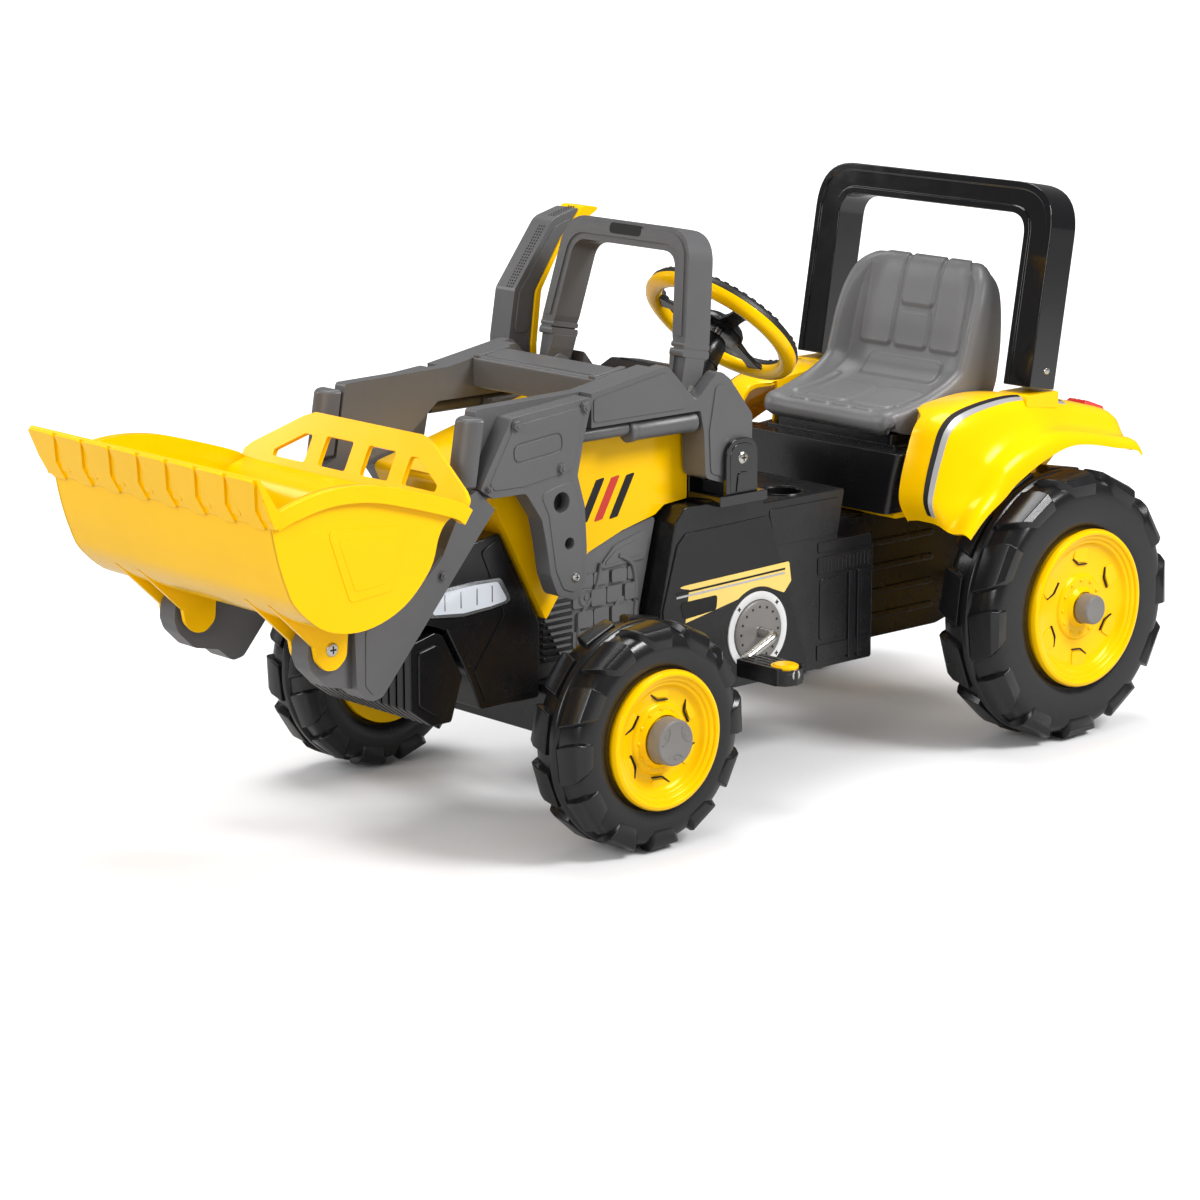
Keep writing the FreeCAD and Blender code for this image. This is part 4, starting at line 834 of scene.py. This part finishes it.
def weights():
    form = Form()
    low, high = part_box("front_weights")
    count = 14
    step = (high.x - low.x) / MM / count
    shape = [(-949, 245, 5), (-912, 254, 5), (-900, 249, 5), (-871, 196, 6), (-888, 144, 5), (-917, 144, 5),
             (-949, 167, 6)]
    core = [(-938, 234, 5), (-912, 240, 5), (-905, 236, 5), (-884, 196, 6), (-896, 156, 5), (-914, 156, 5),
            (-938, 172, 6)]
    for number in range(count):
        start = low.x / MM + step * number + 1
        form.slab(shape, start, start + step - 3.2)
        form.slab(core, start - 1, start + step - 1)
    form.done("nose_weight_row", "tractor", [BLACK], ["front_weights"], bevel=1.5, angle=30)


def seat_base():
    form = Form()
    top = rounded(mirrored([(-126, 60, 6), (-126, -168), (-150, -172, 8), (-150, -204, 10)]))
    rings = []
    for height, shrink in ((299.5, 0.868), (303, 0.872), (345, 0.938), (374, 0.99), (377.5, 1),
                           (379, 0.99)):
        rings.append([at(p[0] * (shrink if abs(p[0]) > 130 else 1), p[1], height) for p in top])
    form.loft(rings)
    form.slab([(-105, -168, 8), (105, -168, 8), (105, 30, 8), (-105, 30, 8)], 378, 394.5, plane="xy")
    form.slab([(-118, -176, 8), (118, -176, 8), (118, 30, 8), (-118, 30, 8)], 378, 383, plane="xy")
    form.done("seat_box", "tractor", [BLACK], ["seat_base"], bevel=1.2)


SEAT_ROWS = [(-176, 394, 104, 0, 3), (-185, 402, 110, 0, 6), (-184, 413, 113, 1, 12),
             (-174, 421, 115, 3, 20), (-146, 421, 118, 8, 28), (-104, 426, 120, 15, 34),
             (-66, 436, 122, 21, 42), (-40, 452, 124, 25, 46), (-28, 478, 125, 26, 40),
             (-19, 514, 125, 24, 34), (-10, 548, 123, 19, 26), (-3, 574, 116, 12, 20), (4, 589, 104, 4, 13),
             (13, 594, 94, 0, 8), (21, 586, 88, 0, 4)]


def pad_height(x, s, pads):
    """Height, from 0 to 1, of the raised pads at a point of the seat's surface."""
    height = 0.0
    for x_low, x_high, s_low, s_high, radius in pads:
        dx = max(x_low + radius - x, 0, x - x_high + radius)
        ds = max(s_low + radius - s, 0, s - s_high + radius)
        inside = radius - math.hypot(dx, ds)
        height = max(height, min(max(inside / 1.8, 0.0), 1.0))
    return height


def seat_pads():
    """Outlines of the raised pads: across the seat, and along it from the front lip to the top."""
    pads = [(-74 + 38 * number, -41 + 38 * number, 36, 60, 5) for number in range(4)]
    pads += [(-76, -3, 65, 138, 10), (3, 76, 65, 138, 10)]
    pads += [(-88, -34, 206, 336, 8), (34, 88, 206, 336, 8), (-29, 29, 262, 338, 8), (-29, 29, 206, 257, 8)]
    pads += [(-95, -84, 62, 150, 5), (84, 95, 62, 150, 5), (-66, 66, 158, 196, 10)]
    return pads


def seat():
    """Moulded bucket seat: a thick rounded rim round a sunk pan and back with raised pads."""
    rows = spline(SEAT_ROWS, 14)
    run = [0.0]
    for near, far in zip(rows, rows[1:]):
        run.append(run[-1] + (Vector(far[:2]) - Vector(near[:2])).length)
    pads = seat_pads()
    form = Form()
    rings = []
    for index, (y, z, half, rim_height, depth) in enumerate(rows):
        here = Vector((y, z))
        ahead = rows[min(index + 1, len(rows) - 1)]
        behind = rows[max(index - 1, 0)]
        along = (Vector(ahead[:2]) - Vector(behind[:2])).normalized()
        normal = Vector((-along.y, along.x))
        bowl = half - 25
        lift = min(rim_height / 10, 1) * 6
        section = []
        for step in range(105):
            x = -bowl + bowl * step / 52
            outward = max(abs(x) / bowl - 0.7, 0) / 0.3
            section.append((x, lift * outward ** 2 + 2.6 * pad_height(x, run[index], pads)))
        top = max(rim_height, lift)
        rim_top = [(bowl + 1.5, lift + rim_height * 0.08), (bowl + 5, lift + rim_height * 0.35),
                   (bowl + 9, max(rim_height * 0.8, lift) + 0.6),
                   (bowl + 13, max(rim_height * 0.97, lift) + 0.3), (bowl + 18, top), (bowl + 22, top - 1.8),
                   (half - 0.6, rim_height - 5.5),
                   (half + 0.6, rim_height - 12), (half + 0.4, -depth * 0.4), (half - 1, -depth * 0.8),
                   (half - 3, -depth)]
        ring = []
        for x, n in [(-x, n) for x, n in rim_top[::-1]] + section + rim_top:
            point = here + normal * n
            ring.append(at(x, min(point.x, 27), max(point.y, 393)))
        rings.append(ring)
    form.loft(rings)
    piece = form.done("bucket_seat", "tractor", [SEAT_GREY], ["seat"], angle=60)
    piece.data.shade_smooth()


FENDER_TOP = [(-187, 292), (-203, 318), (-203, 342), (-192, 380), (-176, 415), (-142, 432), (-60, 440),
              (12, 430), (118, 406), (150, 391), (159, 364)]
FENDER_LOW = [(-179, 285), (-150, 310), (-118, 329), (-100, 342), (-82, 352), (-45, 368), (4, 381),
              (47, 379), (100, 368), (140, 360), (152, 350)]
FENDER_STATIONS = ((130, 0.0, 0.0), (136, 0.0, 1.5), (170, 0.0, 4.5), (192, 0.02, 4.5), (199, 0.05, 4.0),
                   (206, 0.12, 3.0), (212, 0.31, 0.8), (218, 0.51, -0.6), (224, 0.64, -1.0),
                   (230, 0.71, 0.4), (237, 0.755, 2.2), (243, 0.81, 2.4), (247, 0.89, 1.2), (250, 1.0, 0.0))


def fender_line(x, share, crown, high, low):
    """One front-to-rear line over the fender; it starts outside the seat box at its front end."""
    line = []
    for h, l in zip(high, low):
        step = min(max((-h.x - 150) / 16, 0), 1) if h.x > -190 or h.y > 300 else 1
        spot = h.lerp(l, share) + Vector((0, crown))
        line.append(Vector((max(x, 130 + 23 * step), spot.x, spot.y)))
    return line


def fender_skin(line, distance):
    """The same line moved into the sheet (or off it) square to its run."""
    moved = []
    for index, point in enumerate(line):
        ahead = line[min(index + 1, len(line) - 1)] - line[max(index - 1, 0)]
        normal = Vector((0, -ahead.z, ahead.y)).normalized()
        moved.append(point + normal * distance)
    return moved


def mudguards():
    """Both fenders and the deck between them, drawn as lofted sheets."""
    form = Form()
    band = Form()
    high = spline(FENDER_TOP, 6)
    low = spline(FENDER_LOW, 6)
    lines = [fender_line(*station, high, low) for station in FENDER_STATIONS]
    for side in (-1, 1):
        rings = []
        for line in lines:
            sheet = line + fender_skin(line, -4)[::-1]
            rings.append([at(side * min(p.x, 250), p.y, p.z) for p in sheet])
        form.loft(rings)
        form.slab([(-33, 428, 4), (28, 420, 4), (28, 442.5, 5), (-33, 442.5, 5)], 161, 210, side=side)
        form.slab([(128, 404, 3), (152, 391, 3), (160, 372, 3), (160, 357), (150, 360), (140, 384),
                   (126, 396)], 131, 182, side=side)
        cheek = [(-158, 292)] + [p for p in high if p.x > -150] + [(150, 365), (56, 293)]
        form.prism(cheek, side * 128, side * 132)
        for inner_x, outer_x, paint, lift in ((193.5, 199.5, 0, 0.8), (199.9, 204.5, 1, 1.1)):
            rings = []
            for index in range(3, len(high)):
                if high[index].x > 60:
                    break
                ring = []
                for x in (inner_x, outer_x):
                    for distance in (lift, -0.8):
                        near = max(i for i, row in enumerate(FENDER_STATIONS) if row[0] <= x)
                        low_x, high_x = FENDER_STATIONS[near][0], FENDER_STATIONS[near + 1][0]
                        share = (x - low_x) / (high_x - low_x)
                        spots = [fender_skin(lines[near + step], distance)[index] for step in (0, 1)]
                        spot = spots[0].lerp(spots[1], share)
                        ring.append(at(side * spot.x, spot.y, spot.z))
                rings.append([ring[0], ring[2], ring[3], ring[1]])
            band.loft(rings, paint)
    form.slab(box2d(-187, 292, 56, 299), -129, 129, 3)
    form.done("mudguard_moulding", "tractor", [YELLOW], ["mudguard"], bevel=1.2, segments=2, angle=42)
    band.done("fender_stripes", "tractor", [PAINTED_SHADE_AND_PRINT_BLACK, STRIPE_SILVER])
    lamps = Form()
    for side in (-1, 1):
        lens = rounded([(113, 411.5, 3), (119, 407), (149, 392), (156, 394, 3), (151, 404, 4),
                        (120, 415, 5)])
        lamps.prism(lens, side * 149, side * 181)
        for x in (157, 165, 173):
            lamps.slab([(117, 412), (151, 398), (150, 405), (120, 415.4)], x - 1.2, x + 1.2, 2, side)
    lamps.done("tail_lamp_pair", "tractor", [RED], ["tail_lights"], bevel=1.2)


def roll_bar():
    lean = Matrix.Translation(at(0, -3, 443)) @ Matrix.Rotation(math.radians(-9.5), 4, "X")
    stand = lean @ UPRIGHT
    form = Form()
    bow = mirrored([(-208, 4.5, 2), (-208, 262, 62)]) + mirrored([(163, 4.5, 2), (163, 222, 28)])
    form.slab(bow, -24, 24, steps=10, matrix=stand)
    piece = form.done("roll_hoop", "tractor", [GLOSS_BLACK], ["roll_bar"], bevel=4.5, segments=4, angle=30)
    groove = Form()
    track = mirrored([(-199, -10), (-199, 253, 54)]) + mirrored([(172, -10), (172, 231, 34)])
    for low, high in ((21.5, 40), (-40, -21.5)):
        groove.slab(track, low, high, steps=10, matrix=stand)
    carve(piece, groove)
    screws = Form()
    for side in (-1, 1):
        screw_head(screws, facing(207.2, 6, 470, side), 5)
    screws.done("roll_hoop_screws", "tractor", [STEEL], bevel=0.3, segments=2)


# ---- steering and controls ----------------------------------------------------------------------
def steering():
    column = Matrix.Translation(at(*STEERING_CENTRE)) @ Matrix.Rotation(math.radians(-COLUMN_TILT), 4, "X")
    rim_low = Form()
    rim_low.lathe([(86, 1), (84.5, -4), (86.5, -9.5), (91, -12.8), (98, -12.8), (103.5, -10), (106, -5),
                   (105.5, 1)], column, 96, closed=True)
    rim_low.done("steering_ring", "steering", [YELLOW], ["steering_rim"], angle=60)
    grip = Form()
    grip.lathe([(85.6, 1.1), (86.2, 6), (89, 10), (93.5, 12), (98, 12), (102.5, 9.8), (105, 6), (105.3, 1.1),
                (102, 0.6), (89, 0.6)], column, 96, closed=True)
    for number in range(48):
        if number % 12 in (0, 1):
            continue
        turn = column @ Matrix.Rotation(2 * math.pi * number / 48, 4, "Z")
        grip.slab(box2d(90, -3.6, 101, 3.6), 10.4, 12.4, 2, matrix=turn)
    grip.done("steering_grip_cover", "steering", [PANEL_BLACK], ["steering_grip"], angle=40, bevel=0.6,
              segments=2)
    hub = Form()
    hub.lathe([(0.1, 4), (20, 4), (29, 1), (33, -4), (34, -9), (30, -12), (9, -12), (6.1, -12), (6.1, -6),
               (0.1, -6)], column, 48)
    hub.lathe([(24, 2.4), (23, 4.6), (19, 5.6), (15, 4.8), (14, 3.8)], column, 48, closed=True)
    for angle in (0, 120, 240):
        turn = column @ Matrix.Rotation(math.radians(angle), 4, "Z")
        rings = []
        for reach, half, low, high in ((20, 15, -10, 1), (34, 12, -10, -1), (55, 9.5, -8.5, -2),
                                       (74, 9.5, -8, -2), (84.5, 13, -8, -1)):
            rings.append([turn @ (Vector((x, reach, z)) * MM) for x, z in
                          ((-half, low), (half, low), (half * 1.02, (low + high) / 2), (half * 0.8, high),
                           (0, high + 1.2), (-half * 0.8, high), (-half * 1.02, (low + high) / 2))])
        hub.loft(rings)
    hub.done("steering_spokes", "steering", [BLACK], ["steering_hub"], bevel=1.4)
    dash = Form()
    box = [(-524, 357.4), (-524, 500, 12), (-500, 511, 12), (-463, 505, 14), (-450, 470, 10), (-441, 357.4)]
    dash.slab(box, -59, 59)
    dash.slab([(-500, 512.3, 2), (-464, 506.4, 4), (-466, 503), (-500, 508)], -44, 44)
    shroud = column @ Matrix.Translation(Vector((0, 0, -128)) * MM)
    dash.lathe([(10.5, 0), (25.5, 0), (25.5, 60), (23, 84), (21, 100), (17, 107.5), (10.5, 107.5)], shroud,
               48, closed=True)
    for number in range(5):
        ring = column @ Matrix.Translation(Vector((0, 0, -90 + number * 8)) * MM)
        dash.lathe([(24, 0), (25.9, 1), (25.9, 3), (24, 4)], ring, 48, closed=True)
    dash.done("dash_housing", "tractor", [BLACK], ["dashboard"], bevel=2.2)


def lift_posts():
    form = Form()
    pins = Form()
    for side in (1, -1):
        form.slab([(-524, 357.2, 2), (-445, 357.2, 2), (-445, 370, 3), (-524, 370, 3)], 80, 162, side=side)
        form.slab([(-524, 368), (-450, 368), (-450, 428, 8), (-462, 440, 8), (-510, 440, 14),
                   (-524, 428, 10)], 80, 107.5, side=side)
        ear = [(-510, 368), (-458, 368), (-458, 437, 25), (-510, 437, 25)]
        form.slab(ear, 152.2, 157.8, side=side, steps=10)
        ring = [(-504, 372), (-464, 372), (-464, 431, 20), (-504, 431, 20)]
        form.slab(ring, 157, 158.6, side=side, steps=10)
        form.slab([(-495, 372), (-473, 372), (-476, 396, 6), (-492, 396, 6)], 158, 160, side=side)
        screw_head(pins, facing(158.4, *LIFT, side), 7.6, 2.6, cross=1)
    form.done("lift_post_pair", "tractor", [GLOSS_BLACK], ["lift_posts"], bevel=1.6)
    pins.done("lift_pin_heads", "tractor", [STEEL, PAINTED_SHADE_AND_PRINT_BLACK], ["lift_pins"], bevel=0.3, segments=2)


def stack():
    """Grey shell with a perforated front strip, its holes drawn as dark blocks of painted shade; the yellow
    shell shows along its rear edge and tip.
    """
    front = [(-577, 300, 5), (-577, 529, 10), (-567, 589, 12), (-504, 672, 24), (-456, 685, 4)]
    seam = [(-492, 647, 22), (-534, 584, 18), (-542, 519, 8), (-542, 300, 4)]
    rear = [(-425, 681, 4), (-484, 650, 26), (-525, 585, 20), (-533, 519, 10), (-533, 300, 5)]
    grey = Form()
    grey.slab(front + seam, -199.6, -163, steps=8)
    grey.slab([(-575, 302), (-545, 302), (-545, 340), (-566, 340)], -166, -131, 3)
    inset = [(-569, 535, 8), (-560, 586, 10), (-502, 662, 20), (-466, 674, 4), (-496, 650, 22),
             (-538, 588, 18), (-547, 535, 8)]
    lower = [(-567, 312, 4), (-567, 522, 4), (-548, 522, 4), (-548, 312, 4)]
    for panel in (inset, lower):
        grey.slab(panel, -165, -161.4, steps=8)
    # The perforations are small near-black blocks set into the front edge: painted shade in place of holes.
    track = rounded([(-577, 535), (-567, 589, 12), (-504, 672, 24), (-458, 684.5)], steps=8)
    for near, far in zip(track[1:], track[2:]):
        length = (far - near).length
        if length < 1:
            continue
        along = (far - near) / length
        out = Vector((-along.y, along.x))
        spot = 0
        while spot + 2.6 < length:
            corner = near + along * spot
            hole = [corner - out * 0.8, corner - out * 0.8 + along * 2.4, corner + out * 0.5 + along * 2.4,
                    corner + out * 0.5]
            for x in (-172, -176.6, -181.2):
                grey.prism(hole, x, x + 2.4, paint=1)
            spot += 4.2
    grey.done("stack_grey_shell", "tractor", [GREY, PAINTED_SHADE_AND_PRINT_BLACK], ["exhaust_stack"], bevel=2, angle=30)
    trim = Form()
    trim.slab([(-456, 685, 6)] + rear + seam[::-1], -199.6, -160.4, steps=8)
    trim.done("stack_yellow_shell", "tractor", [YELLOW], ["stack_trim"], bevel=1.6, angle=30)


def pedals():
    for side_name, side in SIDES:
        centre = centre_of("pedal_" + side_name)
        y, z = (centre.y - AXLE.y) / MM, centre.z / MM
        form = Form()
        for start, end in ((-21.8, -15), (-12.4, -6), (-3.2, 3.2), (6, 12.4), (15, 21.8)):
            bar = [(176, start), (245, start), (250, end), (176, end)]
            form.slab([(x * side, y + depth) for x, depth in bar], z - 10, z + 9.5, 2, plane="xy")
        outline = [(176, -22, 3), (243, -22, 6), (254, -14, 6), (258, 0, 6), (254, 14, 6), (243, 22, 6),
                   (176, 22, 3)]
        plate = [(p.x * side, p.y + y) for p in rounded(outline)]
        form.prism(plate, z - 11.8, z + 3, plane="xy")
        form.prism([(p[0] * 0.999, p[1]) for p in plate], z + 2, z + 7, plane="xy")
        form.done("pedal_block_" + side_name, "pedal_" + side_name, [BLACK], ["pedal_" + side_name],
                  bevel=0.9, segments=2)
        oval = Form()
        for radius, low, high in ((17, 6, 10.4), (14, 10, 11.8)):
            oval.prism(circle(237 * side, y, radius, 36), z + low, z + high, plane="xy")
        oval.done("pedal_oval_" + side_name, "pedal_" + side_name, [YELLOW], ["pedal_insert_" + side_name],
                  bevel=0.9)


def crank():
    """The bent rod, with rounded bends between shaft, arms and spindles."""
    throw, turn = 60, math.radians(CRANK_ANGLE)
    arm = Vector((0, throw * math.cos(turn), -throw * math.sin(turn)))
    base = Vector((0, *CRANK))
    corners = [base + Vector((x, 0, 0)) + arm * swing
               for x, swing in ((-257, -1), (-165, -1), (-165, 0), (165, 0), (165, 1), (257, 1))]
    path = [corners[0]]
    for last, corner, following in zip(corners, corners[1:], corners[2:]):
        before = (last - corner).normalized() * 9
        after = (following - corner).normalized() * 9
        for step in range(7):
            t = step / 6
            path.append(corner + before * (1 - t) ** 2 + after * t ** 2)
    path.append(corners[-1])
    form = Form()
    tube(form, [at(*point) for point in path], 6.4, 20)
    form.done("crank_rod", "crank", [STEEL], ["crankshaft"], angle=60)


def kept_nodes():
    """The CAD nodes that aren't redrawn get their finish: a black axle beam, and steel for the rest."""
    for name in ("front_axle_beam", "front_knuckle_left", "front_knuckle_right", "tie_rod", "rear_axle",
                 "crank_sprocket", "rear_sprocket", "drive_chain", "steering_column", "hoop_pins"):
        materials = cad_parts[name].data.materials
        materials.clear()
        materials.append(BLACK if name == "front_axle_beam" else STEEL)


# ---- stage --------------------------------------------------------------------------------------
def pale_floor():
    """A pale floor that fades to white far from the toy; only the camera sees its full brightness."""
    material, tree = new_material("pale_floor")
    place = shader_node(tree, "TexCoord", {}, "Object")
    distance = shader_node(tree, "VectorMath", {0: place}, "Value", operation="LENGTH")
    shader = tree.nodes["Principled BSDF"]
    fill(shader, {"Base Color": (0.86, 0.86, 0.87, 1), "Roughness": 0.7, "Specular IOR Level": 0.2,
                  "Emission Color": (1, 1, 1, 1),
                  "Emission Strength": ranged(tree, distance, 0, 0.75, start=0.9, end=4.5),
                  "Normal": shader_node(tree, "Bump", {"Strength": 0.05, "Height": noise(tree, 60)})})
    unseen = shader_node(tree, "BsdfDiffuse", {"Color": (0.5, 0.5, 0.5, 1)})
    seen = shader_node(tree, "LightPath", {}, "Is Camera Ray")
    both = shader_node(tree, "MixShader", {0: seen, 1: unseen, 2: shader.outputs["BSDF"]})
    fill(tree.nodes["Material Output"], {"Surface": both})
    return material


def studio():
    """White surroundings, dimmer as a light and dimmer still in reflections, and four soft boxes."""
    world = bpy.data.worlds.new("studio")
    bpy.context.scene.world = world
    world.use_nodes = True
    tree = world.node_tree
    glossy = shader_node(tree, "LightPath", {}, "Is Glossy Ray")
    soft = ranged(tree, glossy, 0.68, 0.16, 0, 1)
    seen = shader_node(tree, "LightPath", {}, "Is Camera Ray")
    strength = shader_node(tree, "Math", {0: seen, 1: soft}, operation="MAXIMUM")
    fill(tree.nodes["Background"], {"Color": (1, 1, 1, 1), "Strength": strength})
    disc = Form().prism(circle(0, 0, 60000, 96), -20, -0.5, plane="xy")
    disc.done("floor", None, [pale_floor()])
    lamps = (((2.9, 1.3, 2.8), 1.3, 132), ((1.2, -3.8, 2.0), 1.8, 62), ((-1.0, 0.4, 3.6), 1.8, 74),
             ((-3.0, -1.6, 1.8), 1.2, 26))
    target = Vector((0, -0.05, 0.3))
    for number, (place, size, power) in enumerate(lamps):
        light = bpy.data.lights.new("softbox%d" % number, "AREA")
        light.energy = power
        light.size = size
        lamp = bpy.data.objects.new("softbox%d" % number, light)
        lamp.location = place
        lamp.rotation_euler = (target - Vector(place)).to_track_quat("-Z", "Y").to_euler()
        bpy.context.scene.collection.objects.link(lamp)


def camera():
    data = bpy.data.cameras.new("camera")
    data.lens = 109.95
    data.sensor_width = 36
    item = bpy.data.objects.new("camera", data)
    azimuth, elevation = math.radians(48.01), math.radians(12.97)
    back = Vector((math.sin(azimuth) * math.cos(elevation), -math.cos(azimuth) * math.cos(elevation),
                   math.sin(elevation)))
    item.location = at(3255.9, -3502.2, 1232.9)
    item.rotation_euler = (-back).to_track_quat("-Z", "Y").to_euler()
    bpy.context.scene.collection.objects.link(item)
    bpy.context.scene.camera = item


wheels()
bucket()
for side_label, side_sign in SIDES:
    loader_arm(side_label, side_sign)
    loader_plate(side_label, side_sign)
loader_details()
hoop()
chassis()
side_print()
bonnet()
engine_panels()
fascia()
weights()
seat_base()
seat()
mudguards()
roll_bar()
steering()
lift_posts()
stack()
pedals()
crank()
kept_nodes()
studio()
camera()
bpy.context.scene.view_settings.view_transform = "Standard"
